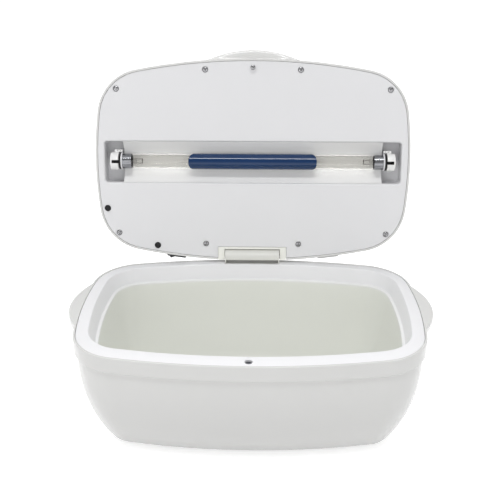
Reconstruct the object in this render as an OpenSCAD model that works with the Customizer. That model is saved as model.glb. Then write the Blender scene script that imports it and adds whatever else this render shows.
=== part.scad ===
// Table-top ultraviolet sanitizer box for phones: a double-walled tub and a hinged lid that carries one
// lamp.
// Lengths are in millimetres. The box stands on z = 0, its front faces -y and its lid is drawn open.
// Everything on the lid is written for the closed lid, with z = 0 at the rim of the tub, and then swung
// open.

/* [Case] */
// Length of the case over its rim, side to side
case_length = 343; // [333:1:353]
// Depth of the case over its rim, front to back
case_depth = 220; // [214:1:228]
// Height of the rim above the table
rim_height = 122; // [114:1:130]
// Radius of the bowed front and back sides
long_side_radius = 665; // [620:5:740]
// Radius of the bowed left and right sides
short_side_radius = 410; // [370:5:480]
// Radius of the corners in plan
corner_radius = 52; // [48:1:56]
// Wall of the base shell
shell_wall = 3; // [2.4:0.1:3.2]
// Width of the lip that shows round each seam
lip_width = 2.4; // [2:0.1:2.8]
// Gap at each seam between an outer shell and what it holds
seam_gap = 0.35; // [0.25:0.05:0.5]
// Gap between the closed lid and the tub's rim
lid_gap = 1; // [0.8:0.1:1.3]

/* [Base shell] */
// Height of the straight band below the rim
skirt_height = 17; // [14:1:20]
// How far the body steps in below the band
skirt_step = 2.6; // [2:0.1:3.4]
// How far the sides draw in from the step to the bottom
side_draw = 30; // [25:1:33]
// Radius of the edge round the bottom
bottom_radius = 12; // [9:1:15]
// How far the carrying ears stand out
ear_reach = 11; // [9:0.5:14]
// Half the length of an ear
ear_half_length = 44; // [36:1:50]
// Middle of an ear behind the middle of the case
ear_setback = 4.5; // [0:0.5:9]
// Depth of an ear below the rim
ear_depth = 9; // [7:0.5:11]

/* [Tub] */
// Width of the rim beside the opening, left and right
side_rim_width = 14.5; // [13:0.5:19]
// Width of the rim in front of the opening
front_rim_width = 19.1; // [18:0.1:22]
// Width of the rim behind the opening
back_rim_width = 11.9; // [11.4:0.1:14]
// Room between the tub's underside and the floor of the base shell
tub_floor_room = 5.8; // [4.8:0.2:15.8]
// Wall of the tub
tub_wall = 2.2; // [1.8:0.1:2.6]
// Depth of the moulded step below the rim
step_depth = 15.5; // [12:0.5:18]
// Width of the moulded step
step_width = 2.6; // [2:0.1:3.4]
// Radius where the tub's wall turns into its floor
floor_radius = 22; // [16:1:26]
// Thickness of the flange that covers the rim
flange_thickness = 2.6; // [2.2:0.1:3]
// Distance of the flange below the lip
flange_drop = 0.4; // [0.3:0.1:0.6]

/* [Hinge] */
// Angle of the open lid from closed
lid_open = 104; // [98:1:106]
// Hinge axis in front of the back of the case
hinge_setback = 3.4; // [3:0.1:3.8]
// Hinge axis above the rim
hinge_rise = 4.4; // [4.2:0.1:4.8]
// Radius of the hinge barrel
barrel_radius = 9; // [8.4:0.1:9.4]
// Length of the hinge barrel
barrel_length = 60; // [52:1:66]
// Diameter of the hinge pin
hinge_pin_diameter = 3; // [2.6:0.2:3.2]
// Width of each leg of the yoke
yoke_leg = 7; // [6:0.5:9]
// Running gap round the barrel
hinge_gap = 0.7; // [0.5:0.1:0.9]

/* [Lid shell] */
// Thickness of the lid shell's wall
lid_wall = 2.2; // [1.8:0.1:3]
// Height of the lid's straight side wall
lid_wall_height = 17; // [16:1:20]
// Height of the curve from the side wall to the top
lid_shoulder_height = 17; // [15:1:20]
// Width of the curve from the side wall to the top
lid_shoulder_width = 26; // [20:1:30]
// Rise of the middle of the lid above its shoulder
lid_crown = 2.2; // [1.4:0.2:3]
// How far the front grip stands out
grip_reach = 9; // [7:0.5:11]
// Half the width of the front grip
grip_half_width = 50; // [42:1:56]

/* [Lid panel] */
// Thickness of the panel
panel_thickness = 2.4; // [2:0.1:2.8]
// Distance of the panel inside the lid's lip
panel_recess = 0.3; // [0.2:0.1:0.5]
// Distance from each end of the case to the lamp trough
trough_end_inset = 10; // [9:0.5:12]
// Width of the lamp trough
trough_width = 44.6; // [42:0.2:47]
// Depth of the lamp trough
trough_depth = 20; // [18.5:0.5:21]
// Wall of the lamp trough
trough_wall = 1.8; // [1.5:0.1:2.2]
// Corner screws inside each end of the case
corner_screw_inset = 24; // [22.5:0.5:27.5]
// Half the distance between the inner screws, side to side
inner_screw_x = 51.2; // [48:0.5:56]
// Front corner screws behind the front of the case
front_corner_screw_inset = 32.3; // [31:0.1:34]
// Front inner screws behind the front of the case
front_inner_screw_inset = 11.8; // [11:0.1:13]
// Back corner screws in front of the back of the case
back_corner_screw_inset = 30.8; // [30:0.1:33]
// Back inner screws in front of the back of the case
back_inner_screw_inset = 19; // [18:0.1:20]
// Diameter of the catch stud
stud_diameter = 6.4; // [6:0.1:6.8]
// Height of the catch stud
stud_height = 3; // [2.6:0.1:3.4]
// Distance of the catch from the front of the case
catch_inset = 9.6; // [9:0.1:10.4]
// Diameter of the rubber bumpers
bumper_diameter = 7; // [6:0.2:8]

/* [Lamp] */
// Distance from each end of the case to the end face of the lamp
lamp_end_room = 27.5; // [26.5:0.5:29]
// Diameter of the lamp's glass
glass_diameter = 15.5; // [15:0.1:16]
// Wall of the glass
glass_wall = 0.7; // [0.6:0.1:0.9]
// Diameter of the lamp's caps
cap_diameter = 16; // [15.8:0.1:16.5]
// Length of a cap
cap_length = 12; // [10:0.5:13]
// Distance between the two pins of a cap
pin_spacing = 4.75; // [4.5:0.05:5]
// Diameter of a lamp pin
pin_diameter = 2.35; // [2.2:0.05:2.5]
// Length of a lamp pin
pin_length = 7; // [6:0.2:7.2]
// Lamp axis inside the face of the panel
lamp_inset = 3; // [2:0.2:4]
// Diameter of the lampholder cups
cup_diameter = 19.4; // [19:0.2:20.4]
// Length of a lampholder cup
cup_length = 9; // [8.6:0.2:9.2]
// Half the length of the blue film on the lamp
film_half_length = 69.7; // [60:0.5:80]

/* [Switch and inlet] */
// Distance of the switch and the inlet from the middle of the back
rear_fitting_x = 84.5; // [78:0.5:92]
// Length of the switch's bezel
bezel_length = 21; // [20:0.5:22]
// Height of the switch's bezel
bezel_height = 14; // [13.4:0.2:14.4]
// Angle through which the rocker tips
rocker_travel = 24; // [18:1:26]
// Length of the inlet's flange
inlet_length = 23; // [22:0.5:25]

/* [Ballast] */
// Length of the ballast board
board_length = 96; // [88:1:104]
// Width of the ballast board
board_width = 36; // [32:1:38]
// Height of the board above the back of the panel
board_standoff = 6; // [5:0.5:7]

/* [Feet] */
// Diameter of a rubber foot
foot_diameter = 16; // [14:0.5:18]
// How far the feet lift the case
foot_height = 3; // [2.5:0.5:4]

/* [Hidden] */

$fn = 64;
// Small length by which a cutting solid passes the face it cuts
past = 1;
half_length = case_length / 2;
half_depth = case_depth / 2;

// Number of steps along a long side, round a corner and along a short side, in each quarter of a ring
long_steps = 10;
corner_steps = 7;
short_steps = 7;

// Quarter of a bowed rectangle, counter-clockwise from the middle of the right side to the middle of
// the back
function quarter(a, b, ra, rb, rc) =
    let (
        long_centre = [0, b - ra],
        short_centre = [a - rb, 0],
        across = short_centre - long_centre,
        span = norm(across),
        along = ((ra - rc) ^ 2 - (rb - rc) ^ 2 + span ^ 2) / (2 * span),
        aside = sqrt(max(0, (ra - rc) ^ 2 - along ^ 2)),
        unit = across / span,
        centre = long_centre + unit * along + [unit[1], -unit[0]] * aside,
        long_angle = atan2(centre[1] - long_centre[1], centre[0] - long_centre[0]),
        short_angle = atan2(centre[1] - short_centre[1], centre[0] - short_centre[0])
    )
    concat(
        [for (i = [0 : short_steps - 1]) short_centre + rb * turn(short_angle * i / short_steps)],
        [for (i = [0 : corner_steps - 1])
            centre + rc * turn(short_angle + (long_angle - short_angle) * i / corner_steps)],
        [for (i = [0 : long_steps])
            long_centre + ra * turn(long_angle + (90 - long_angle) * i / long_steps)]
    );

function turn(angle) = [cos(angle), sin(angle)];

// Whole outline made of four mirrored quarters
function bowed(a, b, ra, rb, rc) =
    let (q = quarter(a, b, ra, rb, rc), n = len(q) - 1)
    concat(
        [for (i = [0 : n - 1]) q[i]],
        [for (i = [n : -1 : 1]) [-q[i][0], q[i][1]]],
        [for (i = [0 : n - 1]) [-q[i][0], -q[i][1]]],
        [for (i = [n : -1 : 1]) [q[i][0], -q[i][1]]]
    );

// Outline of the case, drawn in by an inset
function case_outline(inset) =
    bowed(half_length - inset, half_depth - inset, long_side_radius - inset, short_side_radius - inset,
        max(corner_radius - inset, 12));

// Outline of the tub's opening, drawn in by an inset
well_corner_radius = corner_radius - side_rim_width;
well_half_length = half_length - side_rim_width;
well_half_depth = (case_depth - front_rim_width - back_rim_width) / 2;
well_setback = (front_rim_width - back_rim_width) / 2;
function well_outline(inset) =
    [for (p = bowed(well_half_length - inset, well_half_depth - inset, long_side_radius - inset - 17,
        short_side_radius - inset - 15, max(well_corner_radius - inset, 12))) p + [0, well_setback]];

// How far an ear or the grip stands out at a place along it, as a share of its reach
function bulge(place, half) = max(0, 1 - (place / half) ^ 2);

// Rings in space: the outline at height z, with the ears or the grip pulled out by a share, or drawn to
// a scale
function ring(outline, z) = [for (p = outline) [p[0], p[1], z]];
function eared(outline, z, share) =
    [for (p = outline) [p[0] + sign(p[0]) * ear_reach * share * bulge(p[1] - ear_setback,
        ear_half_length), p[1], z]];
function gripped(outline, z, share) =
    [for (p = outline) [p[0], p[1] - (p[1] < 0 ? grip_reach * share * bulge(p[0], grip_half_width) : 0),
        z]];
function scaled(outline, z, size) = [for (p = outline) [p[0] * size, p[1] * size, z]];

// Closed skin through rings of equal length, capped at the first and the last ring
module skin(rings) {
    n = len(rings[0]);
    last = len(rings) - 1;
    polyhedron(
        points = [for (r = rings) each r],
        faces = concat(
            [[for (i = [0 : n - 1]) i]],
            [for (k = [0 : last - 1], i = [0 : n - 1]) [k * n + i, (k + 1) * n + i,
                (k + 1) * n + (i + 1) % n]],
            [for (k = [0 : last - 1], i = [0 : n - 1]) [k * n + i, (k + 1) * n + (i + 1) % n,
                k * n + (i + 1) % n]],
            [[for (i = [n - 1 : -1 : 0]) last * n + i]]
        ),
        convexity = 6
    );
}

// Tube swept along a list of points, as one closed skin with a ring at every point
module sweep(route, radius, sides) {
    last = len(route) - 1;
    skin([for (k = [0 : last])
        let (
            ahead = route[min(k + 1, last)] - route[max(k - 1, 0)],
            forward = ahead / norm(ahead),
            side_raw = cross([0.17, 0.31, 0.93], forward),
            side = side_raw / norm(side_raw),
            up = cross(forward, side)
        )
        [for (i = [0 : sides - 1])
            route[k] + radius * (side * cos(360 * i / sides) + up * sin(360 * i / sides))]]);
}

// Cylinder along x, y or z from one point to another value on that axis
module rod_x(x0, x1, y, z, d) { translate([x0, y, z]) rotate([0, 90, 0]) cylinder(h = x1 - x0, d = d); }
module rod_y(y0, y1, x, z, d) { translate([x, y1, z]) rotate([90, 0, 0]) cylinder(h = y1 - y0, d = d); }
module rod_z(z0, z1, x, y, d) { translate([x, y, z0]) cylinder(h = z1 - z0, d = d); }

// Block between two corners
module block(low, high) { translate(low) cube(high - low); }

// Cross-headed screw with its head at the bottom and its point up, head face at z = 0
module cross_screw(head_d, head_h, shank_d, length) {
    difference() {
        union() {
            cylinder(h = head_h, d = head_d);
            translate([0, 0, head_h - 0.01]) cylinder(h = length - head_h + 0.01, d = shank_d);
        }
        for (a = [0, 90]) rotate([0, 0, a])
            translate([-head_d * 0.3, -head_d * 0.07, -past])
                cube([head_d * 0.6, head_d * 0.14, past + head_h * 0.6]);
    }
}

// Heights are given as depths below the rim for the base
function below(depth) = rim_height - depth;

// Outer surface of the base: how far the body is drawn in at a depth below the rim
body_depth = rim_height - foot_height;
belly_power = 2.4;
bottom_tilt = 30;
body_turn = body_depth - bottom_radius * (1 - sin(bottom_tilt));
function belly(depth) =
    skirt_step + side_draw * max(0, (depth - skirt_height) / (body_depth - skirt_height)) ^ belly_power;
band_inset = skirt_step + shell_wall;
inner_turn_radius = bottom_radius - shell_wall;
function bottom_outer(tilt) = ring(
    case_outline(belly(body_turn) + bottom_radius * (cos(bottom_tilt) - cos(tilt))),
    below(body_depth - bottom_radius * (1 - sin(tilt))));
function bottom_inner(tilt) = ring(
    case_outline(belly(body_turn) + shell_wall + inner_turn_radius * (cos(bottom_tilt) - cos(tilt))),
    below(body_depth - shell_wall - inner_turn_radius * (1 - sin(tilt))));
wall_shares = [0.9, 0.78, 0.63, 0.46, 0.28, 0.12];
function wall_depth(share) = skirt_height + (body_turn - skirt_height) * share;
seat_depth = flange_drop + flange_thickness;

// The feet, and the screws between them that hold the tub down
foot_x = half_length - 91.5;
foot_y = half_depth - belly(body_turn) - bottom_radius * cos(bottom_tilt)
    - foot_x ^ 2 / (2 * long_side_radius) - foot_diameter / 2 - 0.7;
foot_places = [for (sx = [-1, 1], sy = [-1, 1]) [sx * foot_x, sy * foot_y]];
base_screw_x = foot_x - 4;
base_screw_y = foot_y - 21;
base_screw_places = [for (sx = [-1, 1], sy = [-1, 1]) [sx * base_screw_x, sy * base_screw_y]];
head_sink = 0.9;
foot_recess = 1;
foot_clearance = 0.2;
screw_head = 6;
screw_head_height = 1.4;
screw_shank = 3;
screw_hole = 3.5;
screw_pilot = 3.2;
head_hole = 7;

// Hinge axis, and the block that carries it on the base
hinge_y = half_depth - hinge_setback;
block_clearance = 0.5;
block_front = hinge_y - (half_depth - back_rim_width + tub_wall + block_clearance);
block_back = 8.2;
block_depth = 17;
wing_length = 8;
wing_drop = 3.4;
wing_gap = 0.2;
wing_thickness = half_depth - band_inset - (barrel_length / 2 + wing_length) ^ 2 / (2 * long_side_radius)
    - wing_gap - (hinge_y - block_front);
pin_play = 0.08;
web = 1.2;
recess_back = 3.8;
recess_rise = 0.6;
wing_screw_x = barrel_length / 2 + wing_length / 2;
wing_screw_depth = 12.5;
catch_y = -half_depth + catch_inset;
catch_hole = 7.4;
magnet_diameter = 7.2;
magnet_depth = 2.4;
magnet_thickness = 4;
magnet_cup = 9;

module base_shell() {
    color([0.93, 0.93, 0.92]) difference() {
        skin(concat(
            [for (tilt = [90, 70, 50, 30]) bottom_outer(tilt)],
            [for (share = wall_shares) ring(case_outline(belly(wall_depth(share))),
                below(wall_depth(share)))],
            [
                ring(case_outline(skirt_step), below(skirt_height + 1)),
                ring(case_outline(0.4), below(skirt_height - 0.8)),
                ring(case_outline(0), below(skirt_height - 2.6)),
                ring(case_outline(0), below(ear_depth)),
                eared(case_outline(0), below(ear_depth - 2.4), 0.8),
                eared(case_outline(0), below(ear_depth - 3.8), 1),
                eared(case_outline(0), below(1.5), 1),
                eared(case_outline(0.15), below(0.5), 0.97),
                eared(case_outline(0.6), rim_height, 0.9),
                ring(case_outline(lip_width - 0.4), rim_height),
                ring(case_outline(lip_width), below(0.4)),
                ring(case_outline(lip_width), below(seat_depth)),
                ring(case_outline(band_inset), below(seat_depth)),
                ring(case_outline(band_inset), below(skirt_height + 1))
            ],
            [for (k = [5 : -1 : 0])
                ring(case_outline(belly(wall_depth(wall_shares[k])) + shell_wall),
                    below(wall_depth(wall_shares[k])))],
            [for (tilt = [30, 50, 70, 90]) bottom_inner(tilt)]
        ));
        // Way for the hinge block through the back
        block([-barrel_length / 2 - seam_gap, hinge_y - block_front - past, below(block_depth + seam_gap)],
            [barrel_length / 2 + seam_gap, half_depth + past, rim_height + past]);
        for (sx = [-1, 1]) {
            rod_y(half_depth - band_inset - past, half_depth + past, sx * wing_screw_x,
                below(wing_screw_depth), screw_hole);
            rod_y(half_depth - screw_head_height - head_sink, half_depth + past, sx * wing_screw_x,
                below(wing_screw_depth), head_hole);
        }
        for (p = base_screw_places) {
            rod_z(foot_height - past, foot_height + shell_wall + past, p[0], p[1], screw_hole);
            rod_z(foot_height - past, foot_height + 1.6, p[0], p[1], head_hole);
        }
        for (p = foot_places)
            rod_z(foot_height - past, foot_height + foot_recess, p[0], p[1],
                foot_diameter + 2 * foot_clearance);
    }
}

// Inside of the tub: how far its wall is drawn in from the opening at a depth below the rim
tub_depth = rim_height - foot_height - shell_wall - tub_floor_room - tub_wall;
upper_draw = 4.5;
tub_draw = 17;
floor_tilt = 25;
tub_turn = tub_depth - floor_radius * (1 - sin(floor_tilt));
bowl_inset = upper_draw + step_width + 0.7;
function bowl(depth) =
    bowl_inset + tub_draw * max(0, (depth - step_depth - 1.2) / (tub_turn - step_depth - 1.2)) ^ belly_power;
function well_ring(inset, depth) = ring(well_outline(inset), below(depth));
function floor_ring(tilt, wall) = well_ring(
    bowl(tub_turn) - wall + (floor_radius + wall) * (cos(floor_tilt) - cos(tilt)),
    tub_depth + wall - (floor_radius + wall) * (1 - sin(tilt)));
bowl_shares = [0.86, 0.7, 0.5, 0.28];
function bowl_depth(share) = step_depth + 1.2 + (tub_turn - step_depth - 1.2) * share;
flange_inset = lip_width + seam_gap;

module inner_tub() {
    color([0.95, 0.95, 0.97]) difference() {
        union() {
            skin(concat(
                [for (tilt = [90, 68, 46, 25]) floor_ring(tilt, tub_wall)],
                [for (share = bowl_shares) well_ring(bowl(bowl_depth(share)) - tub_wall,
                    bowl_depth(share))],
                [
                    well_ring(bowl_inset - tub_wall, step_depth + tub_wall + 1),
                    well_ring(upper_draw - tub_wall, step_depth + 0.4),
                    well_ring(-tub_wall, seat_depth),
                    ring(case_outline(flange_inset), below(seat_depth)),
                    ring(case_outline(flange_inset), below(flange_drop + 0.5)),
                    ring(case_outline(flange_inset + 0.5), below(flange_drop)),
                    well_ring(-1.6, flange_drop),
                    well_ring(-0.5, flange_drop + 0.4),
                    well_ring(0, flange_drop + 1.4),
                    well_ring(upper_draw, step_depth - 0.8),
                    well_ring(upper_draw + 0.6, step_depth - 0.1),
                    well_ring(upper_draw + step_width, step_depth + 0.2),
                    well_ring(bowl_inset, step_depth + 1.2)
                ],
                [for (k = [3 : -1 : 0]) well_ring(bowl(bowl_depth(bowl_shares[k])),
                    bowl_depth(bowl_shares[k]))],
                [for (tilt = [25, 46, 68, 90]) floor_ring(tilt, 0)]
            ));
            rod_z(below(magnet_depth + magnet_thickness + 1), below(seat_depth - 1), 0, catch_y,
                magnet_cup);
            for (p = base_screw_places)
                rod_z(foot_height + shell_wall, below(tub_depth + tub_wall / 2), p[0], p[1], 8);
        }
        rod_z(below(magnet_depth + magnet_thickness), rim_height + past, 0, catch_y, catch_hole);
        for (p = base_screw_places)
            rod_z(foot_height + shell_wall - past, foot_height + shell_wall + 6, p[0], p[1], screw_pilot);
        // Way for the hinge block through the flange
        block([-barrel_length / 2 - seam_gap, hinge_y - block_front - seam_gap, below(seat_depth + past)],
            [barrel_length / 2 + seam_gap, half_depth, rim_height + past]);
    }
}

module catch_magnet() {
    color([0.28, 0.29, 0.31])
        rod_z(below(magnet_depth + magnet_thickness), below(magnet_depth), 0, catch_y, magnet_diameter);
}

module rubber_feet() {
    color([0.15, 0.15, 0.16]) for (p = foot_places) translate([p[0], p[1], 0]) rotate_extrude()
        polygon([[0, 0], [foot_diameter / 2 - 1, 0], [foot_diameter / 2, 1],
            [foot_diameter / 2, foot_height + foot_recess], [0, foot_height + foot_recess]]);
}

module base_screws() {
    color([0.72, 0.72, 0.74]) for (p = base_screw_places)
        translate([p[0], p[1], foot_height + 1.6 - screw_head_height])
            cross_screw(screw_head, screw_head_height, screw_shank, 7.6);
}

module hinge_knuckle() {
    axis_z = rim_height + hinge_rise;
    color([0.9, 0.9, 0.9]) difference() {
        union() {
            intersection() {
                rod_x(-barrel_length / 2, barrel_length / 2, hinge_y, axis_z, 2 * barrel_radius);
                block([-barrel_length, hinge_y - 2 * barrel_radius, rim_height + 0.4],
                    [barrel_length, hinge_y + 2 * barrel_radius, axis_z + 2 * barrel_radius]);
            }
            block([-barrel_length / 2, hinge_y - block_front, below(block_depth)],
                [barrel_length / 2, hinge_y + block_back, axis_z - 2]);
            block([-barrel_length / 2 - wing_length, hinge_y - block_front, below(block_depth + 4)],
                [barrel_length / 2 + wing_length, hinge_y - block_front + wing_thickness,
                    below(wing_drop)]);
        }
        rod_x(-barrel_length, barrel_length, hinge_y, axis_z, hinge_pin_diameter + 2 * pin_play);
        // Recess under the barrel, between its end webs
        block([web - barrel_length / 2, hinge_y - 2 * barrel_radius, rim_height + 0.4 - past],
            [barrel_length / 2 - web, hinge_y - recess_back, axis_z + recess_rise]);
        for (sx = [-1, 1])
            rod_y(hinge_y - block_front - past, hinge_y, sx * wing_screw_x, below(wing_screw_depth),
                screw_pilot);
    }
}

module knuckle_screws() {
    seat = half_depth - screw_head_height - head_sink;
    color([0.72, 0.72, 0.74]) for (sx = [-1, 1])
        translate([sx * wing_screw_x, seat + screw_head_height, below(wing_screw_depth)]) rotate([90, 0, 0])
            cross_screw(screw_head, screw_head_height, screw_shank, 7.4);
}

// The lid is drawn closed, with z = 0 at the rim, and swung open about the hinge
module opened() {
    translate([0, hinge_y, rim_height + hinge_rise]) rotate([-lid_open, 0, 0])
        translate([0, -hinge_y, -hinge_rise])
        children();
}

// Outside of the lid: its curve from the side wall to the top, then a shallow crown
lid_draft = 0.8;
lid_wall_top = lid_gap + lid_wall_height;
lid_top = lid_wall_top + lid_shoulder_height;
function shoulder(tilt, wall) = ring(
    case_outline(lid_draft + wall + (lid_shoulder_width - wall) * (1 - cos(tilt))),
    lid_wall_top + (lid_shoulder_height - wall) * sin(tilt));
function crown(size, share, wall) = scaled(
    case_outline(lid_draft + lid_shoulder_width), lid_top - wall + lid_crown * share, size);
shoulder_tilts = [10, 25, 42, 60, 78];
crown_sizes = [[0.97, 0.12], [0.75, 0.5], [0.42, 0.86], [0.12, 1]];
panel_face = lid_gap + panel_recess;
panel_back = panel_face + panel_thickness;
ledge_inset = lip_width + 2.6;

function lid_outside(wall) = concat(
    [for (tilt = shoulder_tilts) shoulder(tilt, wall)],
    [for (c = crown_sizes) crown(c[0], c[1], wall)]);
function reversed(list) = [for (k = [len(list) - 1 : -1 : 0]) list[k]];

// Screw places on the panel
corner_screw_x = half_length - corner_screw_inset;
panel_screw_places = concat(
    [for (sx = [-1, 1]) [sx * corner_screw_x, front_corner_screw_inset - half_depth]],
    [for (sx = [-1, 1]) [sx * inner_screw_x, front_inner_screw_inset - half_depth]],
    [for (sx = [-1, 1]) [sx * corner_screw_x, half_depth - back_corner_screw_inset]],
    [for (sx = [-1, 1]) [sx * inner_screw_x, half_depth - back_inner_screw_inset]]);
lug_screw_x = barrel_length / 2;
lug_screw_y = hinge_y - 17.5;
lug_low = 6.2;
lug_high = 8.8;
boss_diameter = 8;
boss_hole_depth = 11;
yoke_inner = barrel_length / 2 + hinge_gap;
yoke_outer = yoke_inner + yoke_leg;
notch_half = yoke_outer + seam_gap;
notch_top = hinge_rise + 9.6;

// Place on the back wall of the lid: x along the wall, y outwards, z up
fitting_z = lid_gap + 9.7;
wall_turn = asin(rear_fitting_x / long_side_radius);
module on_back_wall(side) {
    translate([side * rear_fitting_x, half_depth - long_side_radius * (1 - cos(wall_turn)), fitting_z])
        rotate([0, 0, -side * wall_turn]) children();
}
housing_length = bezel_length - 2.2;
housing_height = bezel_height - 1.8;
inlet_height = 14;
inlet_body_length = inlet_length - 3;
inlet_body_height = inlet_height - 2.4;
fitting_gap = 0.25;

module lid_shell() {
    color([0.93, 0.93, 0.92]) opened() difference() {
        union() {
            skin(concat(
                reversed(lid_outside(lid_wall)),
                [
                    ring(case_outline(lid_draft + lid_wall), lid_wall_top),
                    ring(case_outline(lid_wall + 0.4), panel_back + 3.4),
                    ring(case_outline(ledge_inset), panel_back + 1.8),
                    ring(case_outline(ledge_inset), panel_back),
                    ring(case_outline(lip_width), panel_back),
                    ring(case_outline(lip_width), lid_gap + 0.4),
                    ring(case_outline(lip_width - 0.4), lid_gap),
                    ring(case_outline(0.6), lid_gap),
                    ring(case_outline(0.12), lid_gap + 0.5),
                    ring(case_outline(0), lid_gap + 1.4),
                    gripped(case_outline(0), lid_gap + 3, 0),
                    gripped(case_outline(0), lid_gap + 4.4, 0.86),
                    gripped(case_outline(0.05), lid_gap + 6.4, 1),
                    gripped(case_outline(0.15), lid_gap + 9, 0.94),
                    gripped(case_outline(0.4), lid_gap + 12, 0.5),
                    gripped(case_outline(0.6), lid_gap + 14.5, 0.12),
                    ring(case_outline(lid_draft), lid_wall_top)
                ],
                lid_outside(0)
            ));
            intersection() {
                union() {
                    for (p = panel_screw_places) rod_z(panel_back, lid_top, p[0], p[1], boss_diameter);
                    rod_z(panel_back, lid_top, 0, catch_y, boss_diameter);
                    for (sx = [-1, 1]) rod_z(lug_high, lid_top, sx * lug_screw_x, lug_screw_y,
                        boss_diameter);
                }
                skin(concat(
                    [ring(case_outline(lid_wall), panel_back - past)],
                    [ring(case_outline(lid_draft + lid_wall / 2), lid_wall_top)],
                    lid_outside(lid_wall / 2)
                ));
            }
        }
        for (p = panel_screw_places) rod_z(panel_back - past, panel_back + boss_hole_depth, p[0], p[1],
            screw_pilot);
        rod_z(panel_back - past, panel_back + boss_hole_depth, 0, catch_y, screw_pilot);
        for (sx = [-1, 1]) rod_z(lug_high - past, lug_high + 8, sx * lug_screw_x, lug_screw_y, screw_pilot);
        // Notch for the hinge
        block([-notch_half, hinge_y - 6, lid_gap - past],
            [notch_half, half_depth + past, notch_top]);
        on_back_wall(-1) block([-housing_length / 2 - fitting_gap, -9, -housing_height / 2 - fitting_gap],
            [housing_length / 2 + fitting_gap, 9, housing_height / 2 + fitting_gap]);
        on_back_wall(1) block([-inlet_body_length / 2 - fitting_gap, -9,
            -inlet_body_height / 2 - fitting_gap],
            [inlet_body_length / 2 + fitting_gap, 9, inlet_body_height / 2 + fitting_gap]);
    }
}

// Long opening in the panel, and the lamp along its middle
trough_half = half_length - trough_end_inset;
trough_shift = 0.8;
trough_floor = panel_face + trough_depth;
lamp_z = panel_face + lamp_inset;
cap_face = half_length - lamp_end_room;
post_x = cap_face + 7;
tail_z = trough_floor + trough_wall + 4;
post_half_x = 4;
post_half_y = 5.5;
hole_margin = 0.3;

// Rectangle with rounded corners, as points
function rounded(hx, hy, r) = [for (c = [[1, 1, 0], [-1, 1, 90], [-1, -1, 180], [1, -1, 270]], k = [0 : 4])
    [c[0] * (hx - r), c[1] * (hy - r)] + r * turn(c[2] + k * 22.5)];
module rounded_box(hx, hy, r, z0, z1) { translate([0, 0, z0]) linear_extrude(z1 - z0)
    polygon(rounded(hx, hy, r)); }

sensor_x = -38.6;
sensor_y = 8.5 - half_depth;
bumper_places = [[11.9 - half_length, 51.8], [-104.9, half_depth - 17]];
bumper_stem = 3;
board_y = trough_shift + trough_width / 2 + trough_wall + 4 + board_width / 2;
board_low = panel_back + board_standoff;
board_thickness = 1.6;
board_screw = 2;
board_screw_places = [for (sx = [-1, 1], sy = [-1, 1]) [sx * (board_length / 2 - 4),
    board_y + sy * (board_width / 2 - 4)]];

module lid_panel() {
    color([0.95, 0.95, 0.97]) opened() difference() {
        union() {
            translate([0, 0, panel_face]) linear_extrude(panel_thickness)
                polygon(case_outline(flange_inset));
            translate([0, trough_shift, 0])
                rounded_box(trough_half + trough_wall, trough_width / 2 + trough_wall, 4.8,
                    panel_face + 1, trough_floor + trough_wall);
            rod_z(panel_face - stud_height, panel_back - past, 0, catch_y, stud_diameter);
            for (p = board_screw_places) rod_z(panel_back - past, board_low, p[0], p[1], 6);
        }
        translate([0, trough_shift, 0])
            rounded_box(trough_half, trough_width / 2, 3, panel_face - past, trough_floor);
        for (sx = [-1, 1])
            block([sx * post_x - post_half_x - hole_margin, -post_half_y - hole_margin,
                trough_floor - past],
                [sx * post_x + post_half_x + hole_margin, post_half_y + hole_margin,
                    trough_floor + trough_wall + past]);
        block([-yoke_outer - seam_gap, hinge_y - 12.4, panel_face - past],
            [yoke_outer + seam_gap, half_depth, panel_back + past]);
        for (p = panel_screw_places) {
            rod_z(panel_face - past, panel_back + past, p[0], p[1], screw_hole);
            rod_z(panel_face - past, panel_face + screw_head_height, p[0], p[1], head_hole);
        }
        rod_z(panel_face - stud_height - past, panel_back + past, 0, catch_y, screw_hole);
        rod_z(panel_face - stud_height - past, panel_face - stud_height + 1.1, 0, catch_y, 5.4);
        for (p = bumper_places) rod_z(panel_face - past, panel_back + past, p[0], p[1], bumper_stem + 0.2);
        for (p = board_screw_places)
            rod_z(panel_back - 0.6, board_low + past, p[0], p[1], board_screw + 0.1);
        block([sensor_x - 3, sensor_y - 3, panel_face - past],
            [sensor_x + 3, sensor_y + 3, panel_face + 0.3]);
    }
}

module panel_screws() {
    color([0.8, 0.8, 0.82]) opened() for (p = panel_screw_places)
        translate([p[0], p[1], panel_face]) cross_screw(screw_head, screw_head_height, screw_shank, 10);
}

module catch_screw() {
    color([0.6, 0.6, 0.62]) opened() translate([0, catch_y, panel_face - stud_height - 0.2])
        cross_screw(5.2, 1.3, screw_shank, 13);
}

module lid_bumpers() {
    color([0.12, 0.12, 0.13]) opened() for (p = bumper_places) translate([p[0], p[1], 0]) rotate_extrude()
        polygon([[0, panel_face - 1.4], [bumper_diameter / 2 - 0.7, panel_face - 1.4],
            [bumper_diameter / 2, panel_face - 0.7],
            [bumper_diameter / 2, panel_face], [bumper_stem / 2, panel_face], [bumper_stem / 2, panel_back],
            [bumper_stem / 2 + 0.9, panel_back], [bumper_stem / 2, panel_back + 2], [0, panel_back + 2]]);
}

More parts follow.
